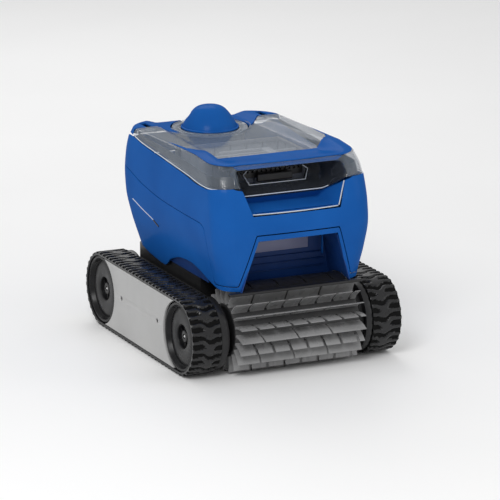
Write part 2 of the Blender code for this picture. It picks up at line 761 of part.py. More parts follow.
def panel_outline(clearance, half_height):
    """Outline between the two wheels, with hollow ends that follow them."""
    reach = WHEEL_BASE / 2
    widest = math.asin(half_height / clearance)
    points = []
    for end in (1, -1):
        for step in range(9):
            angle = end * (-widest + 2 * widest * step / 8)
            points.append((end * (reach - clearance * math.cos(angle)), clearance * math.sin(angle)))
    return points


def make_side_panels():
    for side_name, side in SIDES:
        middle = side * (TRACK_OUTER_X - 0.4 - PANEL_THICKNESS / 2)
        panel = flat("side_panel_" + side_name, "panel_grey", [panel_outline(WHEEL_RADIUS + 2.0, 54.2)],
                     PANEL_THICKNESS, (middle, 0, TRACK_RADIUS), SIDEWAYS)
        panel = as_mesh(panel)
        for number, y in enumerate(PANEL_SCREW_Y):
            pocket = cylinder("screw_pocket_%s_%d" % (side_name, number), None, 4.0, 20.0,
                              (side * 180.0, y, TRACK_RADIUS + 6.0), SIDEWAYS, steps=12)
            boolean(panel, pocket)
            cylinder("panel_screw_%s_%s" % (side_name, ENDS[number][0]), "steel", 3.4, 3.6,
                     (side * 176.9, y, TRACK_RADIUS + 6.0), SIDEWAYS, steps=12)


def make_tracks():
    for side_name, side in SIDES:
        middle = side * (TRACK_INNER_X + TRACK_OUTER_X) / 2
        inner = racetrack(TRACK_RADIUS - LUG_HEIGHT - BELT_THICKNESS, 16)
        flat("belt_" + side_name, "black_rubber", [lugged_racetrack(), inner],
             TRACK_OUTER_X - TRACK_INNER_X, (middle, 0, TRACK_RADIUS), SIDEWAYS)


def make_wheels():
    """Dished wheel, toothed flange behind it, fixed axle and its screw, at all four corners."""
    rim, lip = WHEEL_RADIUS, WHEEL_RADIUS - 1.0
    bore = AXLE_RADIUS + 0.15
    wheel_profile = [(lip, 177.6), (rim, 176.0), (rim, 132.0), (49.0, 132.0), (49.0, 159.0), (14.0, 159.0),
                     (14.0, 132.0), (bore, 132.0), (bore, 163.5), (19.0, 163.5), (21.0, 171.0),
                     (46.0, 169.0), (50.0, 177.6)]
    for side_name, side in SIDES:
        for end_name, end in ENDS:
            name = "%s_%s" % (end_name, side_name)
            hub = (0.0, end * WHEEL_BASE / 2, TRACK_RADIUS)
            profile = wheel_profile if side > 0 else [(r, -x) for r, x in reversed(wheel_profile)]
            turned("wheel_" + name, "black_rubber", profile, hub, SIDEWAYS, steps=22)
            teeth = gear_outline(RING_TEETH, GEAR_MODULE * RING_TEETH / 2 + 2.2,
                                 GEAR_MODULE * RING_TEETH / 2 - 1.4,
                                 GEAR_ANGLE + math.pi / RING_TEETH, 0.62)
            flat("wheel_flange_" + name, "black_plastic", [circle(FLANGE_RADIUS, 36), teeth],
                 FLANGE_X[1] - FLANGE_X[0], (side * sum(FLANGE_X) / 2, hub[1], hub[2]), SIDEWAYS)
            cylinder("axle_" + name, "steel", AXLE_RADIUS, 165.0 - SIDE_FRAME_X[1] - REST_GAP,
                     (side * (165.0 + SIDE_FRAME_X[1] + REST_GAP) / 2, hub[1], hub[2]), SIDEWAYS, steps=22)
            cylinder("wheel_screw_" + name, "steel", SCREW_HEAD_RADIUS, 3.6,
                     (side * (165.0 + REST_GAP + 1.8), hub[1], hub[2]), SIDEWAYS, steps=16)


def make_pinion_mesh(name, location, side):
    """Drive pinion with the shaft that enters the motor through the side frame."""
    outline = gear_outline(PINION_TEETH, 5.8, 9.4, GEAR_ANGLE, 0.62)
    gear = as_mesh(flat(name, "brush_grey", [outline], 8.0, location, SIDEWAYS))
    shaft_x = (107.0, 121.0)
    shaft = cylinder(name + "_shaft", None, 3.0, shaft_x[1] - shaft_x[0],
                     (side * sum(shaft_x) / 2, location[1], location[2]), SIDEWAYS, steps=20)
    boolean(gear, shaft, "UNION")


def make_drives():
    pinion_y = WHEEL_BASE / 2 + GEAR_OFFSET * math.cos(GEAR_ANGLE)
    for side_name, side in SIDES:
        make_pinion_mesh("drive_pinion_" + side_name, (side * 124.5, pinion_y, BRUSH_Z), side)
        cylinder("drive_motor_" + side_name, "black_plastic", 12.0, 52.0,
                 (side * (106.0 - 26.0), pinion_y, BRUSH_Z), SIDEWAYS, steps=20)


def make_brush():
    """Tube with rows of flexible blades on a core, whose right end carries the brush pinion."""
    blades = gear_outline(BLADE_ROWS, BRUSH_TUBE_RADIUS, BRUSH_RADIUS, math.pi,
                          BLADE_THICKNESS * BLADE_ROWS / (2 * math.pi * BRUSH_TUBE_RADIUS) * 1.3)
    flat("brush_sleeve", "brush_grey", [blades, circle(BRUSH_BORE_RADIUS, 24)],
         2 * BRUSH_HALF_LENGTH, (0, BRUSH_Y, BRUSH_Z), SIDEWAYS)
    end = BRUSH_HALF_LENGTH - 0.5
    core = [(0.0, 129.0), (3.0, 129.0), (3.0, 119.2), (5.0, 119.2), (5.0, end + 2.0), (20.0, end),
            (BRUSH_BORE_RADIUS - 0.8, end), (BRUSH_BORE_RADIUS - 0.8, -end), (20.0, -end),
            (5.0, -end - 2.0), (5.0, -118.2), (0.0, -118.2)]
    turned("brush_core", "black_plastic", core, (0, BRUSH_Y, BRUSH_Z), SIDEWAYS, steps=24)
    outline = gear_outline(PINION_TEETH, 5.8, 9.4, GEAR_ANGLE, 0.62)
    flat("brush_pinion", "brush_grey", [outline, circle(3.3, 16)], 8.0, (124.5, BRUSH_Y, BRUSH_Z), SIDEWAYS)


# ---- pump, filter and the rest of the inside ---------------------------------------------------
def make_pump():
    pump_axis = (0, OUTLET_Y, 0)
    turned("motor_block", "black_plastic",
           [(0.0, 236.0), (24.0, 236.0), (29.0, 230.0), (30.0, 222.0), (30.0, 34.0), (0.0, 34.0)],
           pump_axis, steps=24)
    turned("motor_cap", "black_plastic", [(0.0, 33.6), (31.5, 33.6), (31.5, 20.0), (27.0, 15.6), (0.0, 15.6)],
           pump_axis, steps=24)
    turned("shaft_seal", "black_rubber", [(9.0, 243.0), (11.0, 237.0), (4.2, 237.0), (4.2, 243.0)],
           pump_axis, steps=24)
    turned("propeller_shaft", "steel", [(0.0, 276.0), (4.0, 276.0), (4.0, 236.6), (0.0, 236.6)],
           pump_axis, steps=20)
    hub = cylinder("propeller", "black_plastic", 11.0, 22.0, (0, OUTLET_Y, 287.3), steps=24, top_radius=8.0)
    for blade in range(3):
        angle = 2 * math.pi * blade / 3
        wing = box("propeller_blade_%d" % blade, None, (-7.0, 5.0, -1.4), (7.0, 49.0, 1.4))
        wing.location = (0, OUTLET_Y * MM, 287.3 * MM)
        wing.data.transform(Matrix.Translation((0, 0.027, 0)))
        wing.data.transform(Matrix.Rotation(math.radians(32.0), 4, "Y"))
        wing.rotation_euler = (0, 0, angle)
        boolean(hub, wing, "UNION")


def make_filter():
    basket = box("filter_basket", "filter_grey", (-86.0, -110.0, 196.0), (86.0, 42.0, 314.5))
    inside = box("basket_inside", None, (-83.6, -107.6, 198.4), (83.6, 39.6, 330.0))
    inlet = box("basket_inlet", None, (-48.0, -62.0, 190.0), (48.0, -22.0, 205.0))
    bevel(basket, 4.0)
    boolean(basket, inside)
    boolean(basket, inlet)
    comb = [(-52.0, 0.0), (52.0, 0.0), (52.0, 8.0)]
    teeth = 13
    for tooth in range(teeth):
        right = 52.0 - 104.0 * tooth / teeth
        left = 52.0 - 104.0 * (tooth + 0.6) / teeth
        comb += [(right, 13.0), (left, 13.0), (left, 8.0)]
        if tooth < teeth - 1:
            comb.append((52.0 - 104.0 * (tooth + 1) / teeth, 8.0))
    comb.append((-52.0, 8.0))
    flat("filter_handle", "black_plastic", [comb], 6.0, (0, -113.6, 292.5), (math.pi / 2, 0, 0))


def make_inlet():
    duct = box("inlet_duct", "black_plastic", (-55.0, -61.0, 15.4), (55.0, -21.0, 176.0))
    channel = box("inlet_channel", None, (-52.0, -58.0, 5.0), (52.0, -24.0, 190.0))
    boolean(duct, channel)
    box("inlet_flap", "black_rubber", (-46.0, -59.0, 176.6), (46.0, -24.5, 178.8))


def make_small_pieces():
    for side_name, side in SIDES:
        cylinder("lid_hinge_pin_" + side_name, "steel", HINGE_PIN_RADIUS, 24.0,
                 (side * sum(HINGE_LUG_X) / 2, HINGE_Y, HINGE_Z), SIDEWAYS, steps=16)
    float_block = box("float_block", "foam", (-58.0, 170.5, 232.0), (58.0, 186.0, 258.0))
    bevel(float_block, 3.0)
    turned("cable_gland", "black_rubber", [(0.0, 15.0), (6.5, 15.0), (8.0, 6.0), (12.0, 0.0), (0.0, 0.0)],
           (62.0, 196.4, 240.0), (-math.pi / 2, 0, 0), steps=24)


make_hood()
make_lid()
make_bezel()
make_rear_deck()
make_lid_catch()
make_front_scoop()
make_mouth_liner()
make_outlet()
make_base_pan()
make_front_deck()
make_side_frames()
make_side_panels()
make_tracks()
make_wheels()
make_drives()
make_brush()
make_pump()
make_filter()
make_inlet()
make_small_pieces()
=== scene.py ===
"""Looks of the tracked pool cleaner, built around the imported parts.

Shapes are modelled in millimetres from the point midway between the wheels: x to the right seen
from the front, y to the rear, z up. to_frame() turns them into metres in the parts' own frame.
"""
import bisect
import json
import math

import bmesh
import bpy
from mathutils import Matrix, Vector


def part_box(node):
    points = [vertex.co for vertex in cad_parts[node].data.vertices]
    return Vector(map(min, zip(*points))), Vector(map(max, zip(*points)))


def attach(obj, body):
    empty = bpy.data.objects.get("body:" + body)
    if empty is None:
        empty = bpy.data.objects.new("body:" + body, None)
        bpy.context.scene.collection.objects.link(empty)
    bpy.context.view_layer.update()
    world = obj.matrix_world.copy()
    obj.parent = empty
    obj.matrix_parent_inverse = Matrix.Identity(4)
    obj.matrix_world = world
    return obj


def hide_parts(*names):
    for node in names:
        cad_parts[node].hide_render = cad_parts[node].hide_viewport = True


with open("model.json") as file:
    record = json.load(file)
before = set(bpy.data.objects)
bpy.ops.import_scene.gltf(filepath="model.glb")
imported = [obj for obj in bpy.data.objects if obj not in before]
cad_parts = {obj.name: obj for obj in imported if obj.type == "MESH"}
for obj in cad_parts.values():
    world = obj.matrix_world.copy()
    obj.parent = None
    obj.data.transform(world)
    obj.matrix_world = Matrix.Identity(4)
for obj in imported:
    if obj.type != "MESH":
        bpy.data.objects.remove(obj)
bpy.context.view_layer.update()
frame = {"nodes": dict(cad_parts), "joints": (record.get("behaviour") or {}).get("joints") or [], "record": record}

MM = 0.001
SIDES = (("left", -1), ("right", 1))
ENDS = (("front", -1), ("rear", 1))

# ---- places read from the frame --------------------------------------------------------------
joint_at = {joint["name"]: Vector(joint["pos_m"]) / MM for joint in frame["joints"] if "pos_m" in joint}
front_hub = joint_at["wheel_front_right_spin"]
rear_hub = joint_at["wheel_rear_right_spin"]
MIDDLE_Y = (front_hub.y + rear_hub.y) / 2
REACH = (rear_hub.y - front_hub.y) / 2         # from the middle to each wheel's axis
HUB_Z = rear_hub.z


def local(point):
    """A point of the frame, in millimetres, as this file's shapes use it."""
    return Vector((point[0], point[1] - MIDDLE_Y, point[2]))


def node_box(node):
    """Lowest and highest corner of a CAD node."""
    low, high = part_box(node)
    return local(low / MM), local(high / MM)


def node_middle(node):
    """Middle of a CAD node's box."""
    low, high = node_box(node)
    return (low + high) / 2


BRUSH = local(joint_at["brush_spin"])
HINGE = local(joint_at["lid_hinge"])
OUTLET = Vector((0.0, local(joint_at["impeller_spin"]).y, 0.0))
belt_low, belt_high = node_box("belt_right")
BELT_X = (belt_low.x, belt_high.x)
TRACK_RADIUS = HUB_Z                            # the belt's lugs touch the floor

# ---- the body's form, the same as the parts' ---------------------------------------------------
# Height, half width, front and rear of the plan outline at the centre line
HOOD_SECTIONS = (
    (118.0, 116.0, -202.0, 156.0),
    (150.0, 122.0, -206.5, 171.0),
    (185.0, 129.0, -211.5, 184.0),
    (225.0, 134.5, -214.5, 193.0),
    (255.0, 135.0, -210.5, 196.0),
    (285.0, 134.0, -203.0, 193.5),
    (310.0, 132.3, -193.0, 187.0),
    (331.0, 128.0, -174.0, 176.0),
)
FRONT_CORNER = 32.0
REAR_CORNER = 52.0
FRONT_BOW = 7.0

# Lines along the body's side, as (y, height), from front to rear
HEM_LINE = ((-240, 135.4), (-188.7, 135.4), (-170, 137.5), (-141.5, 143.2), (-110, 152.5),
            (-78, 157.8), (-45, 156), (4, 142.4), (37, 124.7), (92, 130), (121, 135.5), (230, 135.5))
SEAM_LINE = ((-240, 143.5), (-200, 143.5), (-178, 143.5), (-168, 143.5), (-164, 146.5),
             (-162.5, 160), (-160.5, 200), (-157.5, 222), (-151, 232), (-138, 236), (-84, 236.6),
             (-2.7, 238.7), (80.5, 247.7), (152.5, 263.3), (230, 272))
RIM_LINE = ((-240, 301.5), (-182, 298), (-155, 294.5), (-125.8, 294.5), (-78, 299.2), (3.3, 305.4),
            (86, 311), (139, 316.6), (160, 313), (176, 304), (230, 301))
ACCENT_LINE = ((30, 189.5), (48, 196.2), (86, 204.5), (126, 214.5))
SEAM_HALF_GAP = 0.6
RIM_GAP = 2.5
WALL = 3.0
COVER_WALL = 2.4

# Openings in the front: half width at the foot and at the top, with both heights
MOUTH = (94.5, 68.0, 128.0, 216.0)
MOUTH_SURROUND = (101.5, 71.0, 128.0, 225.0)
LEG_SEAM_HEIGHT = 143.5
RECESS_LINE = ((0, 255.0), (75.0, 255.0), (88.0, 294.5), (98.5, 297.0))
FRONT_EDGE_X = 98.5                            # where the front face's columns end
FRONT_FACE_END_Y = -150.0                      # lines before this y are the front face's

# The cover's top: a trough between two shoulders, with a ramp down from its front edge
TROUGH_HEIGHT = 322.5
TROUGH_HALF_WIDTH = 84.0                       # at the ramp's end
TROUGH_TAPER = 0.06
RAMP_Y = (-178.0, -105.0)
RAMP_HEIGHT = 7.0
SHOULDER_HEIGHT = 336.0
SHOULDER_WIDTH = 22.0
SHOULDER_ROUND = 9.0
CREST_Y = -100.0                               # where the shoulders are highest
FALL_TO_FRONT = 0.08
FALL_TO_REAR = 0.028
LID_END_Y = 131.0
LID_END_GAP = 3.6
OUTLET_NOTCH_RADIUS = 64.0


# ---- small mathematics -----------------------------------------------------------------------
def slopes_of(knots):
    """Slopes at the knots that keep a curve through them from overshooting."""
    steps = [(b[1] - a[1]) / (b[0] - a[0]) for a, b in zip(knots, knots[1:])]
    inner = [2 * a * b / (a + b) if a * b > 0 else 0.0 for a, b in zip(steps, steps[1:])]
    return [steps[0]] + inner + [steps[-1]]


def on_curve(knots, at):
    """Value at a place on a smooth curve through (place, value) knots in rising order."""
    at = min(max(at, knots[0][0]), knots[-1][0])
    index = min(bisect.bisect_right([knot[0] for knot in knots], at), len(knots) - 1) - 1
    (start, low), (end, high) = knots[index], knots[index + 1]
    slopes = slopes_of(knots)
    width = end - start
    t = (at - start) / width
    return (low * (1 + 2 * t) * (1 - t) ** 2 + slopes[index] * width * t * (1 - t) ** 2
            + high * t * t * (3 - 2 * t) + slopes[index + 1] * width * t * t * (t - 1))


def on_line(knots, at):
    """Value at a place on straight stretches between (place, value) knots."""
    at = min(max(at, knots[0][0]), knots[-1][0])
    index = min(bisect.bisect_right([knot[0] for knot in knots], at), len(knots) - 1) - 1
    (start, low), (end, high) = knots[index], knots[index + 1]
    return low + (high - low) * (at - start) / (end - start)


def ease(low, high, at):
    """0 below low, 1 above high, and a smooth step between."""
    share = min(max((at - low) / (high - low), 0.0), 1.0)
    return share * share * (3 - 2 * share)


def mix(a, b, share):
    return a + (b - a) * share


def spread(start, end, count):
    """count + 1 evenly spaced values."""
    return [mix(start, end, i / count) for i in range(count + 1)]
def around(centre, radius, angle):
    """(y, z) of a point about a centre."""
    return centre.y + radius * math.cos(angle), centre.z + radius * math.sin(angle)


# ---- meshes ----------------------------------------------------------------------------------
def to_frame(point):
    """A point of this file, in metres in the parts' own frame."""
    x, y, z = point
    return x * MM, (y + MIDDLE_Y) * MM, z * MM


def linked(name, data):
    """New object in the scene."""
    made = bpy.data.objects.new(name, data)
    bpy.context.scene.collection.objects.link(made)
    return made


def welded(name, mesh, distance):
    """Object from a mesh, with equal points welded and its faces turned outwards."""
    bm = bmesh.new()
    bm.from_mesh(mesh)
    bmesh.ops.remove_doubles(bm, verts=bm.verts, dist=distance * MM)
    bmesh.ops.recalc_face_normals(bm, faces=bm.faces)
    bm.to_mesh(mesh)
    bm.free()
    return linked(name, mesh)


def make(name, points, faces, weld=0.01):
    """Object from points in millimetres, with equal points welded."""
    mesh = bpy.data.meshes.new(name)
    mesh.from_pydata([(x * MM, (y + MIDDLE_Y) * MM, z * MM) for x, y, z in points], [], faces)
    bm = bmesh.new()
    bm.from_mesh(mesh)
    bmesh.ops.remove_doubles(bm, verts=bm.verts, dist=weld * MM)
    bmesh.ops.recalc_face_normals(bm, faces=bm.faces)
    bm.to_mesh(mesh)
    bm.free()
    made = bpy.data.objects.new(name, mesh)
    bpy.context.scene.collection.objects.link(made)
    return made


def grid(rows, loop=False, ring=False):
    """Points and faces of a sheet; loop closes each row, and ring joins the last row to the first."""
    width = len(rows[0])
    points = [point for row in rows for point in row]
    faces = []
    for i in range(len(rows) if ring else len(rows) - 1):
        below = (i + 1) % len(rows)
        for j in range(width if loop else width - 1):
            right = (j + 1) % width
            faces.append((i * width + j, i * width + right, below * width + right, below * width + j))
    return points, faces


def capped(rows):
    """Points and faces of a closed body whose rows are loops."""
    points, faces = grid(rows, loop=True)
    width = len(rows[0])
    last = len(points) - width
    return points, faces + [tuple(range(width)), tuple(range(last, last + width))]


def several(name, shapes, weld=0.01):
    """One object from several (points, faces) shapes."""
    points, faces = [], []
    for shape_points, shape_faces in shapes:
        start = len(points)
        points += shape_points
        faces += [tuple(index + start for index in face) for face in shape_faces]
    return make(name, points, faces, weld)


def settle(made):
    """Applies the modifiers."""
    bpy.context.view_layer.update()
    shown = made.evaluated_get(bpy.context.evaluated_depsgraph_get())
    mesh = bpy.data.meshes.new_from_object(shown)
    made.modifiers.clear()
    made.data = mesh
    return made


def mirrored(shape):
    """A (points, faces) shape with its reflection in the middle plane."""
    points, faces = shape
    count = len(points)
    return (points + [(-x, y, z) for x, y, z in points],
            faces + [tuple(index + count for index in reversed(face)) for face in faces])


def outward(made, upward=False):
    """Turns an open sheet's faces away from the machine's middle, or up."""
    bm = bmesh.new()
    bm.from_mesh(made.data)
    middle = Vector((0, MIDDLE_Y * MM, 0.22))
    total = sum((face.normal.z if upward else face.normal.dot(face.calc_center_median() - middle))
                * face.calc_area() for face in bm.faces)
    if total < 0:
        bmesh.ops.reverse_faces(bm, faces=bm.faces)
    bm.to_mesh(made.data)
    bm.free()
    return made


def thicken(made, thickness, offset=-1.0):
    wall = made.modifiers.new("wall", "SOLIDIFY")
    wall.thickness = thickness * MM
    wall.offset = offset
    wall.use_even_offset = True
    wall.thickness_clamp = 1.0
    return settle(made)


def rounded(made, width, segments=2, angle=35.0):
    edge = made.modifiers.new("round", "BEVEL")
    edge.width = width * MM
    edge.segments = segments
    edge.limit_method = "ANGLE"
    edge.angle_limit = math.radians(angle)
    return settle(made)


def cut(made, cutter, operation="DIFFERENCE"):
    """Cuts one object with another, which is used up."""
    tool = made.modifiers.new("cut", "BOOLEAN")
    tool.operation = operation
    tool.object = cutter
    settle(made)
    bpy.data.objects.remove(cutter, do_unlink=True)
    return made


def block_shape(low, high):
    """A box's (points, faces)."""
    points = [(x, y, z) for x in (low[0], high[0]) for y in (low[1], high[1]) for z in (low[2], high[2])]
    faces = [(0, 1, 3, 2), (4, 6, 7, 5), (0, 4, 5, 1), (2, 3, 7, 6), (0, 2, 6, 4), (1, 5, 7, 3)]
    return points, faces


def blocks(name, corners, round_width=0.0, segments=2):
    """One object of boxes given by their lowest and highest corners."""
    made = several(name, [block_shape(low, high) for low, high in corners], weld=0.0001)
    return rounded(made, round_width, segments) if round_width else made


def lathe_shape(profile, centre, axis="x", steps=96):
    """A closed profile of (radius, place along the axis) turned about it."""
    rows = []
    for radius, along in profile:
        row = []
        for step in range(steps):
            angle = 2 * math.pi * step / steps
            a, b = radius * math.cos(angle), radius * math.sin(angle)
            offset = (along, a, b) if axis == "x" else (a, b, along)
            row.append(tuple(c + o for c, o in zip(centre, offset)))
        rows.append(row)
    closed = profile[0][0] > 0 or profile[-1][0] > 0
    return grid(rows, loop=True, ring=closed)


def lathe(name, profile, centre, axis="x", steps=96):
    return several(name, [lathe_shape(profile, centre, axis, steps)])


def turned(shape, angle, centre, axis):
    """A (points, faces) shape turned about an axis through the origin, then moved to a centre."""
    turn = Matrix.Rotation(angle, 3, axis)
    return [tuple(turn @ Vector(point) + centre) for point in shape[0]], shape[1]


def add_spline(curve, points, closed=False):
    """Adds straight stretches through points in metres to a curve."""
    spline = curve.splines.new("POLY")
    spline.points.add(len(points) - 1)
    spline.use_cyclic_u = closed
    for point, place in zip(spline.points, points):
        point.co = (*place, 1.0)


def from_curve(name, curve, place=Matrix.Identity(4)):
    """Mesh object from a curve, welded."""
    held = linked(name + "_curve", curve)
    bpy.context.view_layer.update()
    mesh = bpy.data.meshes.new_from_object(held.evaluated_get(bpy.context.evaluated_depsgraph_get()))
    bpy.data.objects.remove(held, do_unlink=True)
    mesh.transform(place)
    return welded(name, mesh, 0.01)


# Stands a flat curve up: its x and y become y and z
UPRIGHT = Matrix(((0, 0, 1, 0), (1, 0, 0, 0), (0, 1, 0, 0), (0, 0, 0, 1)))


def plate(name, outlines, x_range):
    """A flat piece across x: (y, z) outlines, the first outside and the rest holes."""
    curve = bpy.data.curves.new(name, "CURVE")
    curve.dimensions = "2D"
    curve.fill_mode = "BOTH"
    curve.extrude = (x_range[1] - x_range[0]) / 2 * MM
    for outline in outlines:
        add_spline(curve, [(y * MM, z * MM, 0.0) for y, z in outline], closed=True)
    return from_curve(name, curve, Matrix.Translation(to_frame((sum(x_range) / 2, 0, 0))) @ UPRIGHT)


def bead(name, paths, radius):
    """Round beads along paths."""
    curve = bpy.data.curves.new(name, "CURVE")
    curve.dimensions = "3D"
    curve.bevel_depth = radius * MM
    curve.bevel_resolution = 3
    curve.use_fill_caps = True
    for path in paths:
        add_spline(curve, [to_frame(point) for point in path])
    return from_curve(name, curve)


def joined(name, objects):
    """One object from several, keeping each one's materials."""
    bm = bmesh.new()
    materials = []
    for item in objects:
        first_face = len(bm.faces)
        own = [slot.material for slot in item.material_slots]
        bm.from_mesh(item.data)
        bm.faces.ensure_lookup_table()
        for face in bm.faces[first_face:]:
            material = own[face.material_index] if own else None
            if material not in materials:
                materials.append(material)
            face.material_index = materials.index(material)
        bpy.data.objects.remove(item, do_unlink=True)
    mesh = bpy.data.meshes.new(name)
    bm.to_mesh(mesh)
    bm.free()
    for material in materials:
        mesh.materials.append(material)
    return linked(name, mesh)


def paint(made, material):
    made.data.materials.clear()
    made.data.materials.append(material)
    return made


def finish_piece(made, body, nodes, sharp=35.0):
    """Shades a piece, ties it to its body and hides the nodes that it stands for."""
    made.data.shade_smooth()
    made.data.set_sharp_from_angle(angle=math.radians(sharp))
    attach(made, body)
    if nodes:
        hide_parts(*nodes)
    return made


# ---- materials -------------------------------------------------------------------------------
def feed(node, socket, value):
    """Sets a node's input, or links another node's output to it."""
    if isinstance(value, bpy.types.NodeSocket):
        node.id_data.links.new(value, node.inputs[socket])
    else:
        node.inputs[socket].default_value = value


def add_node(tree, kind, output, inputs, **settings):
    """Adds a node with its settings and inputs, and returns one of its outputs."""
    node = tree.nodes.new("ShaderNode" + kind)
    for name, value in settings.items():
        setattr(node, name, value)
    for socket, value in inputs.items():
        feed(node, socket, value)
    return node.outputs[output]


def new_material(name, colour, roughness, metallic=0.0):
    material = bpy.data.materials.new(name)
    material.use_nodes = True
    shader = material.node_tree.nodes["Principled BSDF"]
    feed(shader, "Base Color", (*colour, 1.0))
    feed(shader, "Roughness", roughness)
    feed(shader, "Metallic", metallic)
    material.diffuse_color = (*colour, 1.0)
    return material, material.node_tree, shader


def noise_of(tree, scale, detail=3.0, stretch=(1.0, 1.0, 1.0)):
    """Noise in the object's own space; scale is in blobs a metre."""
    place = add_node(tree, "TexCoord", "Object", {})
    mapped = add_node(tree, "Mapping", "Vector", {"Vector": place, "Scale": stretch})
    return add_node(tree, "TexNoise", "Fac", {"Vector": mapped, "Scale": scale, "Detail": detail})


def ranged(tree, value, low, high, to_low, to_high):
    return add_node(tree, "MapRange", "Result", {"Value": value, "From Min": low, "From Max": high,
                                                 "To Min": to_low, "To Max": to_high})


def blended(tree, share, first, second):
    """Mix of two colours."""
    inputs = {"Factor": share, 6: (*first, 1.0), 7: (*second, 1.0)}
    return add_node(tree, "Mix", 2, inputs, data_type="RGBA")


def computed(tree, operation, first, second):
    return add_node(tree, "Math", 0, {0: first, 1: second}, operation=operation)


def bumped(tree, shader, height, strength, distance):
    inputs = {"Height": height, "Strength": strength, "Distance": distance}
    feed(shader, "Normal", add_node(tree, "Bump", "Normal", inputs))


def moulded(name, dark, light, roughness, strength, specular=0.4, coat=0.0, grain=2600.0):
    """Moulded plastic or rubber: slow colour drift, handling marks in the gloss and a fine grain."""
    material, tree, shader = new_material(name, light, roughness[0])
    drift = ranged(tree, noise_of(tree, 14.0, 2.0), 0.3, 0.7, 0.0, 1.0)
    feed(shader, "Base Color", blended(tree, drift, dark, light))
    marks = ranged(tree, noise_of(tree, 60.0, 6.0), 0.35, 0.75, *roughness)
    feed(shader, "Roughness", marks)
    bumped(tree, shader, noise_of(tree, grain, 2.0), strength, 0.0002)
    feed(shader, "Specular IOR Level", specular)
    feed(shader, "Coat Weight", coat)
    feed(shader, "Coat Roughness", 0.2)
    return material


def metal(name, colour, roughness, stretch):
    """Brushed metal whose fine lines run along one direction."""
    material, tree, shader = new_material(name, colour, roughness[0], 1.0)
    lines = noise_of(tree, 900.0, 2.0, stretch)
    feed(shader, "Roughness", ranged(tree, lines, 0.3, 0.7, *roughness))
    dark = tuple(0.8 * c for c in colour)
    share = ranged(tree, lines, 0.3, 0.7, 0.0, 1.0)
    feed(shader, "Base Color", blended(tree, share, dark, colour))
    bumped(tree, shader, lines, 0.06, 0.0002)
    return material


def clear_plastic(name, colour, face_on, edge_on):
    """Smoked clear plastic that mirrors more and hides more at a glancing angle."""
    material, tree, shader = new_material(name, colour, 0.05)
    facing = add_node(tree, "LayerWeight", "Facing", {"Blend": 0.28})
    haze = ranged(tree, noise_of(tree, 22.0, 4.0), 0.3, 0.7, 0.9, 1.1)
    cover = ranged(tree, facing, 0.0, 1.0, face_on, edge_on)
    feed(shader, "Alpha", computed(tree, "MULTIPLY", cover, haze))
    feed(shader, "Roughness", ranged(tree, noise_of(tree, 80.0, 5.0), 0.35, 0.75, 0.04, 0.12))
    bumped(tree, shader, noise_of(tree, 45.0, 2.0), 0.12, 0.0006)
    feed(shader, "Specular IOR Level", 0.8)
    return material


def filter_mesh():
    """Fine woven filter mesh: a grid of threads over dark gaps."""
    material, tree, shader = new_material("filter_mesh", (0.25, 0.26, 0.29), 0.6)
    place = add_node(tree, "TexCoord", "Object", {})
    waves = [add_node(tree, "TexWave", "Fac", {"Vector": place, "Scale": 170.0}, bands_direction=along)
             for along in ("X", "Y", "Z")]
    threads = waves[0]
    for other in waves[1:]:
        threads = computed(tree, "MAXIMUM", threads, other)
    feed(shader, "Base Color", blended(tree, threads, (0.06, 0.065, 0.075), (0.36, 0.38, 0.42)))
    bumped(tree, shader, threads, 0.5, 0.0004)
    return material


def foam():
    material, tree, shader = new_material("foam", (0.75, 0.74, 0.7), 0.9)
    place = add_node(tree, "TexCoord", "Object", {})
    cells = add_node(tree, "TexVoronoi", "Distance", {"Vector": place, "Scale": 700.0})
    share = ranged(tree, cells, 0.0, 0.8, 0.0, 1.0)
    feed(shader, "Base Color", blended(tree, share, (0.80, 0.79, 0.75), (0.62, 0.61, 0.57)))
    bumped(tree, shader, cells, 0.4, 0.0006)
    return material


# Each with its darker and lighter colour, its range of roughness and its grain's strength
BLUE = moulded("shell_blue", (0.008, 0.083, 0.325), (0.010, 0.098, 0.370), (0.26, 0.36), 0.02,
               specular=0.0, coat=0.1)
# Darker copy of the shell's blue: painted shade on the inner walls of the mouth and under the arches
SHADED_BLUE = moulded("shaded_liner_blue", (0.008, 0.036, 0.155), (0.010, 0.045, 0.19), (0.30, 0.42), 0.06,
                    specular=0.2)
# Pale glossy colour for beads along edges: painted highlights on the crease, the lid's rim, the recess's ledge and
# the grip's lip
PAINTED_HIGHLIGHT = moulded("painted_highlight", (0.55, 0.60, 0.68), (0.66, 0.70, 0.76), (0.16, 0.26), 0.03)
PANEL = moulded("panel_grey", (0.40, 0.40, 0.396), (0.44, 0.44, 0.436), (0.30, 0.38), 0.05)
BLACK = moulded("black_plastic", (0.009, 0.009, 0.010), (0.015, 0.015, 0.016), (0.30, 0.42), 0.1,
                grain=3200.0)
RUBBER = moulded("black_rubber", (0.010, 0.010, 0.011), (0.018, 0.018, 0.019), (0.24, 0.40), 0.12,
                 specular=0.38, grain=1800.0)
WHEEL = moulded("wheel_black", (0.006, 0.006, 0.007), (0.011, 0.011, 0.012), (0.26, 0.38), 0.08,
                specular=0.22, grain=1800.0)
# Near-black rubber for the tread's grooves: painted shade in the hollows between lugs
GROOVE_SHADE = moulded("groove_shade_rubber", (0.002, 0.002, 0.002), (0.004, 0.004, 0.004), (0.5, 0.6), 0.1,
                 specular=0.1, grain=1800.0)
BRUSH_GREY = moulded("brush_grey", (0.20, 0.20, 0.203), (0.27, 0.27, 0.272), (0.24, 0.36), 0.08,
                     specular=0.5, grain=1500.0)
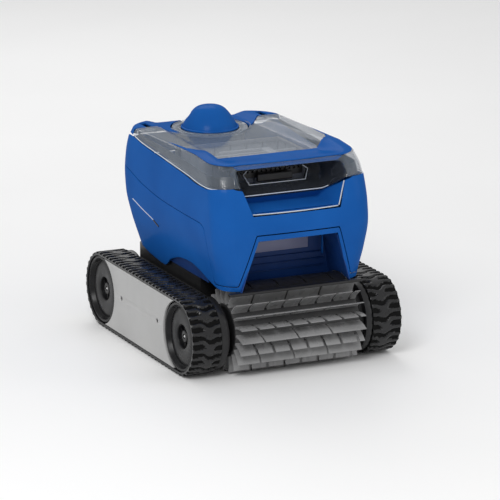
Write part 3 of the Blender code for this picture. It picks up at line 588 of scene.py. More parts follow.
# Dark grey for the brush's tube: painted shade between the blade rows
BRUSH_SHADE = moulded("brush_tube_shade", (0.035, 0.035, 0.036), (0.055, 0.055, 0.056), (0.3, 0.4), 0.08,
                     grain=1500.0)
FILTER = moulded("filter_grey", (0.16, 0.17, 0.20), (0.22, 0.235, 0.27), (0.4, 0.55), 0.1,
                 grain=2000.0)
LIGHT_GREY = moulded("basket_handle", (0.42, 0.44, 0.48), (0.52, 0.54, 0.58), (0.3, 0.42), 0.06,
                     grain=2200.0)
LILAC = moulded("liner_window", (0.22, 0.23, 0.36), (0.26, 0.27, 0.41), (0.3, 0.4), 0.05)
CLEAR = clear_plastic("clear_plastic", (0.25, 0.30, 0.37), 0.13, 0.52)
# Dark, nearly opaque clear plastic for the recess's sunk wall: painted shade of the dark space behind it
RECESS_SHADE = clear_plastic("recess_shade", (0.03, 0.034, 0.042), 0.72, 0.9)
STEEL = metal("steel", (0.70, 0.70, 0.70), (0.18, 0.28), (1.0, 0.05, 0.05))
MESH = filter_mesh()
FOAM = foam()

SLOT_MATERIALS = {
    "shell_blue": BLUE, "clear_plastic": CLEAR, "panel_grey": PANEL, "black_plastic": BLACK,
    "black_rubber": RUBBER, "brush_grey": BRUSH_GREY, "steel": STEEL, "filter_grey": FILTER, "foam": FOAM,
}
slot_of = {row["node"]: row["material_slot"] for row in frame["record"]["subparts"]}
for node_name, node in frame["nodes"].items():
    paint_slots = node.data.materials
    paint_slots.clear()
    paint_slots.append(SLOT_MATERIALS[slot_of[node_name]])


# ---- body shells -----------------------------------------------------------------------------
SECTION_CURVES = [[(section[0], section[column]) for section in HOOD_SECTIONS] for column in (1, 2, 3)]


def hood_at(height):
    """Half width, front and rear of the body's outline at a height."""
    return [on_curve(curve, height) for curve in SECTION_CURVES]


def bowed(y, x, half_width, front):
    """Moves a point near the front to the bowed face."""
    return y + FRONT_BOW * (1.0 - ease(front, front + 80.0, y)) * (x / half_width) ** 2


def plan_point(column, height):
    """Point of the body's right half: column is (stretch, place along it)."""
    stretch, place = column
    half_width, front, rear = hood_at(height)
    front_x = half_width - FRONT_CORNER
    if stretch == "front":
        x = place
        into = max(x - front_x, 0.0)
        y = front + FRONT_CORNER - math.sqrt(FRONT_CORNER ** 2 - into ** 2)
    elif stretch == "corner":
        flat_run = max(front_x - FRONT_EDGE_X, 0.0)
        first_angle = math.asin(max(FRONT_EDGE_X - front_x, 0.0) / FRONT_CORNER)
        run = place * (flat_run + FRONT_CORNER * (math.pi / 2 - first_angle))
        if run < flat_run:
            x, y = FRONT_EDGE_X + run, front
        else:
            angle = first_angle + (run - flat_run) / FRONT_CORNER
            x = front_x + FRONT_CORNER * math.sin(angle)
            y = front + FRONT_CORNER * (1 - math.cos(angle))
    elif stretch == "side":
        x, y = half_width, mix(front + FRONT_CORNER, rear - REAR_CORNER, place)
    elif stretch == "rear_corner":
        angle = math.pi / 2 * place
        x = half_width - REAR_CORNER * (1 - math.cos(angle))
        y = rear - REAR_CORNER * (1 - math.sin(angle))
    else:
        x, y = (half_width - REAR_CORNER) * (1 - place), rear
    return x, bowed(y, x, half_width, front)


FRONT_COLUMNS = (*range(0, 57, 8), 62, 66, 68, 69.5, *range(71, 80, 2), 81.5, *range(84, 91, 2),
                 92.3, 94, 95.5, 97, FRONT_EDGE_X)
FINE_SHARE = 2 / 15                            # of the side, where the seam turns up: fine columns
COLUMNS = ([("front", x) for x in FRONT_COLUMNS]
           + [("corner", place) for place in spread(0, 1, 14)[1:]]
           + [("side", place) for place in spread(0, FINE_SHARE, 32)[1:]]
           + [("side", place) for place in spread(FINE_SHARE, 1, 32)[1:]]
           + [("rear_corner", place) for place in spread(0, 1, 12)[1:]]
           + [("rear", place) for place in spread(0, 1, 6)[1:]])


def slanted(x, opening, grow=0.0):
    """Height of an opening's slanted side and flat top at a place across the front."""
    foot_x, top_x, foot, top = opening
    side = foot + (foot_x + grow - x) * (top - foot) / (foot_x - top_x)
    return min(side, top + grow)


def seam_height(x, y, grow):
    if x <= FRONT_EDGE_X and y < FRONT_FACE_END_Y:
        return max(slanted(x, MOUTH_SURROUND, grow * 1.4), LEG_SEAM_HEIGHT + grow)
    return on_curve(SEAM_LINE, y + grow) + grow


def hem_height(x, y, grow=0.0):
    if x <= FRONT_EDGE_X and y < FRONT_FACE_END_Y:
        return max(slanted(x, MOUTH), HEM_LINE[0][1])
    return on_curve(HEM_LINE, y)


def rim_height(x, y, grow=0.0):
    if x <= FRONT_EDGE_X and y < FRONT_FACE_END_Y:
        return on_line(RECESS_LINE, x)
    return on_curve(RIM_LINE, y)


def meeting(column, line, grow=0.0):
    """Height at which a column of the body meets a line."""
    low, high = 100.0, 345.0
    for _ in range(20):
        height = (low + high) / 2
        if line(*plan_point(column, height), grow) > height:
            low = height
        else:
            high = height
    return (low + high) / 2


def shell_shape(low_line, high_line, low_grow, high_grow, rows):
    """Right and left half of a shell between two lines, as points and faces."""
    columns = []
    for column in COLUMNS:
        low = meeting(column, low_line, low_grow)
        high = meeting(column, high_line, high_grow)
        heights = spread(low, high, rows)
        columns.append([(*plan_point(column, height), height) for height in heights])
    return mirrored(grid(columns))


def make_shell(name, low_line, high_line, low_grow, high_grow, rows):
    """Blue wall of the body between two lines."""
    shape = shell_shape(low_line, high_line, low_grow, high_grow, rows)
    shell = thicken(outward(several(name, [shape], weld=0.05)), WALL)
    return paint(rounded(shell, 0.8, 2, 50.0), BLUE)


def side_paths(line, start, end):
    """Paths on both sides of the body along a (y, height) line."""
    heights = [(y, on_curve(line, y)) for y in spread(start, end, 20)]
    return [[(side * (hood_at(z)[0] - 0.2), y, z) for y, z in heights] for side in (-1, 1)]


def arch_skirt():
    """Inner walls seen under the arches over the belts."""
    walls = []
    for side in (-1, 1):
        rows = []
        for y in spread(-128.0, 40.0, 20):
            top = on_curve(HEM_LINE, y) + 7.0
            rows.append([(side * mix(114.2, 118.0, share), y, mix(135.2, top, share))
                         for share in spread(0, 1, 4)])
        walls.append(grid(rows))
    return thicken(several("arch_skirt", walls), 1.2, 0.0)


def make_hood():
    upper = make_shell("upper_shell", seam_height, rim_height, SEAM_HALF_GAP, 0.0, 30)
    finish_piece(upper, "chassis", ["hood_upper"])
    lower = make_shell("lower_outer", hem_height, seam_height, 0.0, -SEAM_HALF_GAP, 22)
    # Creased accent on the side, which ends in a short slot; the pale bead along the crease is a painted highlight
    crease = paint(bead("crease", side_paths(ACCENT_LINE, 50.0, 126.0), 0.8), PAINTED_HIGHLIGHT)
    # The black bead along the slot is painted shade inside it
    slot = paint(bead("crease_slot", side_paths(ACCENT_LINE, 31.0, 48.0), 1.5), BLACK)
    # The arches' inner walls take the darker blue as painted shade
    shell = joined("lower_shell", [lower, paint(arch_skirt(), SHADED_BLUE), crease, slot])
    finish_piece(shell, "chassis", ["hood_lower"])


# ---- lid, bezel and rear deck ------------------------------------------------------------------
EDGE_LINE = ((0.0, 328.5), (0.1, 330.0), (0.5, 332.5), (1.0, 327.0))
# Rows down the recess's wall: how far across it is fully sunk, and its y and height there
RECESS_WALL = ((92.0, -174.0, 328.5), (86.0, -173.0, 321.5), (77.0, -123.0, 308.0),
               (74.0, -134.0, 286.0), (66.0, -155.0, 274.0))
RECESS_END_X = 92.5


def half_width_at(y, height):
    """Half width of the body at a place along it, with its rounded corners."""
    half_width, front, rear = hood_at(height)
    into_front = min(max(front + FRONT_CORNER - y, 0.0), FRONT_CORNER)
    into_rear = min(max(y - (rear - REAR_CORNER), 0.0), REAR_CORNER)
    corner, into = (FRONT_CORNER, into_front) if into_front > 0 else (REAR_CORNER, into_rear)
    return half_width - corner + math.sqrt(corner ** 2 - into ** 2)


def edge_of(share):
    """Height of the cover's edge, and its front and rear there."""
    edge = on_line(EDGE_LINE, share)
    _, front, rear = hood_at(edge)
    return edge, front, rear


def top_height(x, y):
    """Height of the cover: a sunk trough between two raised shoulders."""
    floor_half = TROUGH_HALF_WIDTH - TROUGH_TAPER * (y - RAMP_Y[1])
    floor = TROUGH_HEIGHT + RAMP_HEIGHT * (1.0 - ease(*RAMP_Y, y))
    fall = FALL_TO_REAR if y > CREST_Y else FALL_TO_FRONT
    shoulder = SHOULDER_HEIGHT - fall * abs(y - CREST_Y)
    return floor + (shoulder - floor) * ease(floor_half, floor_half + SHOULDER_WIDTH, abs(x))


def cover_top(share, across):
    """Point of the cover's top; across runs from 0 in the middle to 1, then round the edge to 2."""
    edge, front, rear = edge_of(share)
    y = front + share * (rear - front)
    width = half_width_at(y, edge)
    turn = max(across - 1.0, 0.0) * math.pi / 2
    x = min(across, 1.0) * (width - SHOULDER_ROUND) + SHOULDER_ROUND * math.sin(turn)
    drop = (top_height(x, y) - edge + 2.0) * (1 - math.cos(turn))
    return (x, bowed(y, x, hood_at(edge)[0], front), top_height(x, y) - drop)


def body_outline(share, across, height):
    """Point of the body's outline at a height, by the cover's own stations and columns."""
    half_width, front, rear = hood_at(height)
    y = front + share * (rear - front)
    x = min(across, 1.0) * (half_width_at(y, height) - SHOULDER_ROUND)
    return Vector((x, bowed(y, x, half_width, front)))


def cover_wall(share, across, down, sunk_front=False):
    """Point of the cover's wall, from its edge down to just above the body's rim."""
    start = Vector(cover_top(share, across))
    rim = on_curve(RIM_LINE, start.y) + RIM_GAP
    height = mix(start.z, rim, down)
    moved = body_outline(share, across, height) - body_outline(share, across, start.z)
    x, y = start.x + moved.x, start.y + moved.y
    if sunk_front:
        level = down * (len(RECESS_WALL) - 1)
        reach, recess_y, recess_height = (on_line(list(enumerate(values)), level)
                                          for values in zip(*RECESS_WALL))
        sunk = 1.0 - ease(reach, RECESS_END_X, x)
        y += (recess_y - y) * sunk
        height += (recess_height - height) * sunk
    return (x, y, height)


ACROSS = spread(0.0, 1.0, 40)[:-1] + spread(1.0, 2.0, 6)
DOWN = spread(0.0, 1.0, 16)


def cover_stations():
    """Shares of the cover's length, close together round its four corners."""
    length = HOOD_SECTIONS[-1][3] - HOOD_SECTIONS[-1][2]
    front = [FRONT_CORNER * (1 - math.cos(angle)) / length for angle in spread(0, math.pi / 2, 12)]
    rear = [1.0 - REAR_CORNER * (1 - math.cos(angle)) / length for angle in spread(math.pi / 2, 0, 14)]
    middle = spread(front[-1], rear[0], 50)[1:-1]
    return front + middle + rear


def cover_sheet(name):
    """Right and left half of the whole top cover as an open sheet."""
    stations = cover_stations()
    top = grid([[cover_top(share, across) for across in ACROSS] for share in stations])
    side = grid([[cover_wall(share, 2.0, down) for down in DOWN] for share in stations])
    front = grid([[cover_wall(0.0, across, down, True) for down in DOWN] for across in ACROSS])
    rear = grid([[cover_wall(1.0, across, down) for down in DOWN] for across in ACROSS])
    sheet = several(name, [mirrored(shape) for shape in (top, side, front, rear)], weld=0.02)
    return outward(sheet, upward=True)


def behind_lid(grow):
    """Cutter that holds the cover behind the lid's rear edge."""
    end = LID_END_Y - grow
    right = [(65.0, 102.0 - grow), (90.0, end), (200.0, end), (200.0, 260.0)]
    outline = right + [(-x, y) for x, y in reversed(right)]
    return make("behind_lid", *capped([[(x, y, z) for x, y in outline] for z in (230.0, 430.0)]))


def outlet_notch():
    """Cutter for the cover's round opening about the outlet."""
    low, high, radius = 290.0, 370.0, OUTLET_NOTCH_RADIUS
    return lathe("notch", [(0.0, low), (radius, low), (radius, high), (0.0, high)], OUTLET, "z")


GRIP_HOLE = ((47.3, 288.0), (54.3, 300.5), (46.7, 306.0))


def grip_outline(grow=0.0):
    """(x, z) outline of the grip's opening."""
    half = [(x + grow, z + grow * (1 if z > 295 else -1)) for x, z in GRIP_HOLE]
    return half + [(-x, z) for x, z in reversed(half)]


def lid_beads():
    """Round bead along the lid's edge about the outlet."""
    ring = []
    radius = OUTLET_NOTCH_RADIUS + 1.6
    for degrees in spread(-198.0, 18.0, 96):
        x = radius * math.cos(math.radians(degrees))
        y = OUTLET.y + radius * math.sin(math.radians(degrees))
        if y < LID_END_Y - 4:
            ring.append((x, y, top_height(x, y) + 0.8))
    return bead("lid_beads", [ring], 1.3)


def lid_edge_highlights():
    """Pale beads painted as highlights along edges: the rim on both sides, the foot of the recess's wall and the
    grip's lip.
    """
    rim = [cover_wall(share, 2.0, 1.0) for share in cover_stations() if 0.02 < share < 0.845]
    edges = [[(side * x, y - 0.2, z) for x, y, z in rim] for side in (-1, 1)]
    foot = [cover_wall(0.0, across, 1.0, True) for across in spread(0.0, 0.8, 20)]
    foot = [(x, y - 0.6, z + 0.8) for x, y, z in foot]
    edges.append([(-x, y, z) for x, y, z in reversed(foot)] + foot[1:])
    grip = grip_outline(1.2)
    edges.append([(x, -125.3 - (308.0 - z) * 0.5, z) for x, z in grip[3:] + grip[:3]])
    return bead("lid_edge_highlights", edges, 0.8)


def lid_shade_sheet():
    """Black sheet inside the lid's walls: painted shade of the dark inside seen through them."""
    rows = []
    for share in cover_stations():
        if share < 0.86:
            wall = [cover_wall(share, 2.0, down) for down in (0.45, 0.7, 1.0)]
            rows.append([(x * 0.955, y * 0.965, z) for x, y, z in wall])
    return thicken(several("lid_shade_sheet", [mirrored(grid(rows))]), 1.0, 0.0)


def hinge_lug(x):
    """Arm of the lid with a hole for the hinge pin."""
    eye = [around(HINGE, 6.0, angle) for angle in spread(-1.9, 1.6, 14)]
    hole = [around(HINGE, 2.7, angle) for angle in spread(0.0, 2 * math.pi, 24)[:-1]]
    arm = eye + [(125.0, 328.4), (108.0, 328.6), (108.0, 322.0)]
    return rounded(plate("lug", [arm, hole], (x - 3.8, x + 3.8)), 0.5)


def make_lid():
    lid = thicken(cover_sheet("lid_window"), COVER_WALL)
    cut(lid, behind_lid(LID_END_GAP))
    cut(lid, outlet_notch())
    grip = [[(x, y, z) for x, z in grip_outline()] for y in (-152.0, -108.0)]
    cut(lid, make("grip_cutter", *capped(grip)))
    paint(lid, CLEAR)
    lid.data.materials.append(RECESS_SHADE)
    # Faces of the recess's sunk wall take the dark material as painted shade
    for face in lid.data.polygons:
        x, y, z = local(face.center / MM)
        if abs(x) < 91.5 and y < -111.0 and z < 318.5:      # the recess's sunk wall
            face.material_index = 1
    # Pale beads along the edges are painted highlights; the black sheet inside the walls is painted shade
    trims = [paint(lid_beads(), CLEAR), paint(lid_edge_highlights(), PAINTED_HIGHLIGHT), paint(lid_shade_sheet(), BLACK)]
    pin_x = node_middle("lid_hinge_pin_right").x
    lugs = [paint(hinge_lug(x), CLEAR) for x in (-pin_x, pin_x)]
    window = joined("lid_window", [lid] + trims + lugs)
    finish_piece(window, "lid", ["lid_clear"])


BEZEL_BAR_ACROSS = 0.74      # where the bar's rear edge turns into the arms
BEZEL_OUTER = 1.35


def share_at(y):
    _, front, rear = edge_of(0.2)
    return (y - front) / (rear - front)


def make_bezel():
    """U-shaped trim: a bar across the lid's front and a tapering arm along each shoulder."""
    bar_end, arm_start, tip = share_at(-98.0), share_at(-80.0), share_at(9.0)
    inner_line = ((bar_end, BEZEL_BAR_ACROSS), (arm_start, 0.93), (mix(arm_start, tip, 0.5), 1.06),
                  (tip, BEZEL_OUTER - 0.01))
    columns = spread(0.0, BEZEL_BAR_ACROSS, 26)[:-1] + spread(BEZEL_BAR_ACROSS, BEZEL_OUTER, 14)
    stations = [share for share in cover_stations() if share < bar_end - 0.01] + [bar_end]
    bar = grid([[cover_top(share, across) for across in columns] for share in stations])
    arm = grid([[cover_top(share, across) for across in spread(on_curve(inner_line, share), BEZEL_OUTER, 14)]
                for share in spread(bar_end, tip, 40)])
    lip = []
    for part in spread(0.0, 1.0, 6):
        row = []
        for across in columns:
            reach = 0.25 * (1.0 - ease(80.0, 94.0, cover_top(0.0, across)[0])) + 0.04
            row.append(cover_wall(0.0, across, part * reach, True))
        lip.append(row)
    halves = [mirrored(shape) for shape in (bar, arm, grid(lip))]
    bezel = outward(several("bezel", halves, weld=0.02), upward=True)
    # Lifts the trim off the lid
    normals = [vertex.normal.copy() for vertex in bezel.data.vertices]
    for vertex, normal in zip(bezel.data.vertices, normals):
        vertex.co += normal * 0.4 * MM
    thicken(bezel, 1.5, 1.0)
    rounded(bezel, 0.5, 2, 40.0)
    paint(bezel, BLUE)
    finish_piece(bezel, "lid", ["lid_bezel"], 30.0)


def make_rear_deck():
    deck = thicken(cover_sheet("rear_cover"), COVER_WALL)
    cut(deck, behind_lid(0.0), "INTERSECT")
    cut(deck, outlet_notch())
    pin_x = node_middle("lid_hinge_pin_right").x
    for x in (-pin_x, pin_x):
        cut(deck, blocks("slot", [((x - 5.5, 120.0, 300.0), (x + 5.5, 159.0, 345.0))]))
    finish_piece(paint(deck, BLUE), "chassis", ["rear_deck"])


# ---- front recess, mouth and deck --------------------------------------------------------------
def make_front_scoop():
    # Corners of the right half: floor's front and rear, rising side, and rear wall's top
    middle, front, rear = (0.0, -141.0, 259.0), (74.0, -201.0, 256.5), (66.0, -141.0, 259.0)
    tip, shoulder, rear_top = (87.5, -192.0, 293.0), (89.0, -181.0, 289.0), (67.5, -149.0, 269.0)
    faces = [((0.0, -206.0, 256.0), front, rear, middle), (front, tip, shoulder, rear),
             (middle, rear, rear_top, (0.0, -149.0, 269.0)), (rear, shoulder, rear_top)]
    shapes = [mirrored((list(corners), [tuple(range(len(corners)))])) for corners in faces]
    scoop = outward(several("recess_floor", shapes, 0.05), upward=True)
    thicken(scoop, 2.0)
    rounded(scoop, 0.9, 3, 20.0)
    # Raised rib across the floor
    rib = blocks("floor_rib", [((-66.0, -196.5, 257.5), (66.0, -194.5, 259.0))], 0.5)
    # Pale bead along the floor's front edge and up its sides: a painted highlight
    ledge = [[(x, -206.4 + 4.8 * (x / 74.0) ** 2, 256.4) for x in spread(-73.0, 73.0, 24)]]
    ledge += [[(side * 75.0, -201.4, 257.0), (side * 88.0, -192.6, 293.0)] for side in (-1, 1)]
    edge = paint(bead("recess_ledge_highlight", ledge, 1.0), PAINTED_HIGHLIGHT)
    piece = joined("recess_floor", [paint(scoop, BLUE), paint(rib, BLUE), edge])
    finish_piece(piece, "chassis", ["front_scoop"])


SHROUD_RADIUS = 68.6
LINER_BACK_Y = -127.0


def make_mouth_liner():
    """Cheeks, roof and back of the space behind the mouth, down to the brush shroud."""
    cheek = []
    for share in spread(0.0, 1.0, 16):
        y = mix(-204.5, LINER_BACK_Y, share)
        foot = BRUSH.z + math.sqrt(max((SHROUD_RADIUS + 3.0) ** 2 - (y - BRUSH.y) ** 2, 45.0 ** 2))
        front_x = 67.3 + (214.5 - foot) * 0.31
        foot_x = mix(front_x, 92.0 + (141.0 - foot) * 0.19, share)
        roof_x = mix(67.3, 80.0, share)
        roof = mix(214.5, 204.0, share)
        bow = 4.0 * (1.0 - share)
        cheek.append([(mix(foot_x, roof_x, up), y - bow * up, mix(foot, roof, up)) for up in spread(0, 1, 8)]
                     + [(roof_x * (1 - i / 6), y - bow, roof) for i in range(1, 7)])
    last = cheek[-1]
    back = [last, [(0.0, LINER_BACK_Y, z) for _, _, z in last]]
    sheets = [mirrored(grid(cheek)), mirrored(grid(back))]
    liner = thicken(several("mouth_inner", sheets, 0.05), 1.6, 1.0)
    rounded(liner, 0.6, 3, 25.0)
    front_y, rear_y = LINER_BACK_Y - 3.0, LINER_BACK_Y - 1.7
    window = blocks("liner_window", [((-72.0, front_y, 174.5), (56.0, rear_y, 199.0))], 0.4)
    ribs = blocks("liner_ribs", [((-84.0, front_y, z), (84.0, rear_y, z + 1.4))
                                 for z in (143.0, 154.0, 165.0)], 0.4)
    fin = blocks("liner_fin", [((73.0, -146.0, 166.0), (75.0, -142.0, 198.0))], 0.7)
    # Cheeks, back and ribs take the darker blue as painted shade inside the mouth
    piece = joined("mouth_inner", [paint(liner, SHADED_BLUE), paint(window, LILAC), paint(ribs, SHADED_BLUE),
                                   paint(fin, BLUE)])
    finish_piece(piece, "chassis", ["mouth_liner"])


def make_front_deck():
    arc = [around(BRUSH, SHROUD_RADIUS, math.radians(degrees)) for degrees in spread(34.0, 116.0, 30)]
    rows = [[(x, y, z) for x in spread(-92.0, 92.0, 40)] for y, z in arc]
    deck = outward(several("brush_shroud", [grid(rows)]), upward=True)
    thicken(deck, 2.2, 1.0)
    for x in (-69.0, -23.0, 23.0, 69.0):
        low, high = (x - 1.2, BRUSH.y - 22.0, BRUSH.z + 50.0), (x + 1.2, BRUSH.y + 16.0, BRUSH.z + 90.0)
        cut(deck, blocks("slit", [(low, high)]))
    lip = blocks("shroud_lip", [((-114.0, -207.5, 130.4), (114.0, -199.0, 134.9))], 1.3, 3)
    piece = joined("brush_shroud", [paint(deck, BLACK), paint(lip, BLACK)])
    finish_piece(piece, "chassis", ["front_deck"])


# ---- outlet ------------------------------------------------------------------------------------
def make_outlet():
    # (radius, height) outside and inside the cowl
    dome = [(44.5, 322.0), (43.2, 325.7), (41.5, 329.5), (36.5, 337.5), (31.0, 345.0), (25.0, 351.4),
            (19.0, 355.2), (12.0, 357.0), (6.0, 357.5), (0.0, 357.6)]
    inside = [(0.0, 355.2), (11.0, 354.7), (17.5, 353.0), (23.5, 349.3), (29.0, 343.5), (34.2, 336.5),
              (39.0, 329.5), (42.2, 322.0)]
    rising = sorted((height, radius) for radius, height in dome[:-1])
    outer = [(on_curve(rising, height), height) for height in spread(322.0, 357.5, 26)]
    cowl = lathe("jet_cowl", outer + [dome[-1]] + inside, OUTLET, "z")
    cut(cowl, blocks("mouth", [((-34.0, OUTLET.y + 8.0, 326.2), (34.0, OUTLET.y + 60.0, 346.0))], 6.0, 4))
    edge = [(46.6, 320.8), (47.2, 322.0), (46.6, 323.4), (45.0, 324.0), (43.4, 323.0), (43.4, 320.8)]
    foot = lathe("cowl_foot", edge, OUTLET, "z")
    piece = joined("jet_cowl", [paint(cowl, BLUE), paint(foot, BLUE)])
    finish_piece(piece, "chassis", ["outlet_cowl"], 30.0)

    top = 320.0
    bands = [(r + 1.2, r - 1.2, 317.8) for r in (22.0, 31.0, 40.0, 49.0)] + [(61.5, 55.0, 317.6)]
    rings = [lathe_shape([(wide, low), (wide, top), (narrow, top), (narrow, low)], OUTLET, "z")
             for wide, narrow, low in bands]
    boss = [(14.0, 317.6), (14.0, top), (0.0, top + 0.6), (0.0, 317.6)]
    rings.append(lathe_shape(boss, OUTLET, "z", 48))
    spoke = block_shape((12.0, -1.1, 317.7), (56.0, 1.1, 319.8))
    spokes = [turned(spoke, angle, OUTLET, "Z") for angle in spread(0.0, 2 * math.pi, 12)[:-1]]
    bars = paint(several("grille_bars", rings + spokes, weld=0.0001), FILTER)
    profile = [(61.8, 320.2), (61.0, 322.6), (59.0, 323.0), (49.5, 321.6), (49.5, 320.2)]
    collar = paint(lathe("grille_collar", profile, OUTLET, "z"), CLEAR)
    finish_piece(joined("jet_grille", [bars, collar]), "chassis", ["outlet_grille"])


# ---- tracks --------------------------------------------------------------------------------------
LUG_COUNT = 74
LUG_HEIGHT = 3.0
BELT_THICKNESS = 3.0
SAMPLES_PER_LUG = 10
BELT_COLUMNS = 20


def track_point(run, lift):
    """(y, z) of a place along the belt's groove line, moved out by lift."""
    root = TRACK_RADIUS - LUG_HEIGHT
    straight, arc = 2 * REACH, math.pi * root
    side = 1
    if run >= straight + arc:
        run -= straight + arc
        side = -1
    radius = root + lift
    if run < straight:
        return side * (run - REACH), HUB_Z - side * radius
    angle = -math.pi / 2 + (run - straight) / root
    return side * (REACH + radius * math.cos(angle)), HUB_Z + side * radius * math.sin(angle)


def wave(cycles, across, shift):
    return math.sin(2 * math.pi * (cycles * across + shift))


def tread(position, across):
    """Height of the tread, 0 to 1: wavy bars, every second one notched from both edges."""
    shifted = position + 0.30 * wave(0.9, across, 0.12) + 0.10 * wave(2.3, across, 0.4)
    number = math.floor(shifted)
    distance = abs(shifted - number - 0.5)
    if number % 2 == 0:
        half_groove = 0.21 + 0.05 * wave(1.4, across, 0.2)
    else:
        notch = 1 - ease(0.30, 0.46, across) + ease(0.70, 0.84, across)
        half_groove = 0.24 * notch
    bar = ease(half_groove, half_groove + 0.12, distance) if half_groove > 0.02 else 1.0
    shoulder = ease(0.0, 0.06, across) * (1 - ease(0.94, 1.0, across))
    return bar * (0.55 + 0.45 * shoulder)


def make_belts():
    loop = 2 * (2 * REACH + math.pi * (TRACK_RADIUS - LUG_HEIGHT))
    count = LUG_COUNT * SAMPLES_PER_LUG
    inner_x, outer_x = BELT_X
    for side_name, side in SIDES:
        rows = []
        for sample in range(count):
            run = loop * sample / count
            position = sample / SAMPLES_PER_LUG
            row = []
            for column in range(BELT_COLUMNS + 1):
                across = column / BELT_COLUMNS
                y, z = track_point(run, LUG_HEIGHT * tread(position, across))
                row.append((side * mix(outer_x, inner_x, across), y, z))
            for x, lift in ((inner_x, -1.0), (inner_x + 0.8, -BELT_THICKNESS),
                            (outer_x - 0.8, -BELT_THICKNESS), (outer_x, -1.0)):
                y, z = track_point(run, lift)
                row.append((side * x, y, z))
            rows.append(row)
        belt = several("tread_belt_" + side_name, [grid(rows, loop=True, ring=True)], weld=0.001)
        paint(belt, RUBBER)
        # Faces low in the grooves take the near-black rubber as painted shade
        belt.data.materials.append(GROOVE_SHADE)
        faces_per_row = len(rows[0])
        for sample in range(count):
            for column in range(BELT_COLUMNS):
                height = tread((sample + 0.5) / SAMPLES_PER_LUG, (column + 0.5) / BELT_COLUMNS)
                if height < 0.3:
                    belt.data.polygons[sample * faces_per_row + column].material_index = 1
        finish_piece(belt, "chassis", ["belt_" + side_name], 50.0)


SCREW_STEPS = 48
SOCKET_ROWS = (6, 7)                           # of the profile, which take the hexagon's shape


def screw_shape(radius, length, centre, side, socket):
    """Round-headed screw with a hexagonal socket, facing outwards along x."""
    half = length / 2
    profile = [(0.0, -half), (radius, -half), (radius, half - 1.2), (radius - 0.5, half - 0.4),
               (radius - 1.3, half), (socket, half), (socket * 0.94, half - 0.3),
               (socket * 0.94, half - 2.0), (0.0, half - 2.0)]
    points, faces = lathe_shape(profile, (0, 0, 0), "x", SCREW_STEPS)
    hexagon = math.pi / 3
    shaped = []
    for index, (x, y, z) in enumerate(points):
        if index // SCREW_STEPS in SOCKET_ROWS:
            angle = math.atan2(z, y)
            share = math.cos(hexagon / 2) / math.cos((angle % hexagon) - hexagon / 2)
            y, z = y * share, z * share
        shaped.append((centre[0] + side * x, centre[1] + y, centre[2] + z))
    return shaped, faces


def screw(name, *sizes):
    return several(name, [screw_shape(*sizes)], weld=0.001)


# Half section of a wheel, as (radius, x)
WHEEL_PROFILE = (
    (53.4, 177.6), (54.3, 177.2), (54.9, 176.2), (54.9, 132.0), (49.0, 132.0), (49.0, 159.0),
    (14.0, 159.0), (14.0, 132.0), (6.6, 132.0), (6.6, 163.5), (16.8, 163.5), (17.8, 163.9),
    (18.3, 165.0), (18.8, 170.4), (19.6, 171.6), (21.4, 172.2), (30.0, 172.9), (38.0, 172.6),
    (44.5, 171.2), (46.6, 170.0), (47.6, 170.0), (48.4, 171.0), (49.6, 176.4), (50.6, 177.6),
)
HUB_RIBS = 6
FLANGE_RADIUS = 57.5
RING_TEETH = 25
RING_ROOT = 27.2
RING_TIP = 23.6
RING_ANGLE = math.radians(156.0) + math.pi / RING_TEETH
TOOTH_SHARE = 0.62                             # of half a tooth's pitch, at its root


def gear_ring(hub):
    """Outline of inward teeth about a hub, as (y, z)."""
    points = []
    for tooth in range(RING_TEETH):
        centre = RING_ANGLE + 2 * math.pi * tooth / RING_TEETH
        for shift, radius in ((-1.0, RING_ROOT), (-0.5, RING_TIP), (0.5, RING_TIP), (1.0, RING_ROOT)):
            points.append(around(hub, radius, centre + shift * TOOTH_SHARE * math.pi / RING_TEETH))
    return points


def make_wheel(name, side, hub):
    """One wheel with its toothed flange and its screw."""
    rib = block_shape((side * 163.0, 10.6, -1.0), (side * 167.0, 18.4, 1.0))
    shapes = [lathe_shape([(r, side * x) for r, x in WHEEL_PROFILE], hub)]
    shapes += [turned(rib, 2 * math.pi * (i + 0.5) / HUB_RIBS, hub, "X") for i in range(HUB_RIBS)]
    wheel = paint(several("track_wheel_" + name, shapes, weld=0.001), WHEEL)
    finish_piece(wheel, "wheel_" + name, ["wheel_" + name], 28.0)

    low, high = node_box("wheel_flange_" + name)
    rim = [around(hub, FLANGE_RADIUS, angle) for angle in spread(0, 2 * math.pi, 96)[:-1]]
    flange = plate("guide_flange_" + name, [rim, gear_ring(hub)], (low.x, high.x))
    paint(rounded(flange, 0.9, 2, 60.0), BLACK)
    finish_piece(flange, "wheel_" + name, ["wheel_flange_" + name])

    low, high = node_box("wheel_screw_" + name)
    middle = (low + high) / 2
    cap = paint(screw("hub_cap", 9.5, high.x - low.x, middle, side, 4.4), BLACK)
    pin = paint(screw("hub_pin", 2.6, 2.4, middle + Vector((side * 0.3, 0, 0)), side, 1.0), STEEL)
    finish_piece(joined("hub_screw_" + name, [cap, pin]), "chassis", ["wheel_screw_" + name])


def make_wheels():
    for side_name, side in SIDES:
        for end_name, end in ENDS:
            make_wheel("%s_%s" % (end_name, side_name), side, Vector((0.0, end * REACH, HUB_Z)))


PANEL_HOLLOW_RADIUS = 56.9                     # of the panel's ends, about the wheels
PANEL_HALF_HEIGHT = 54.2


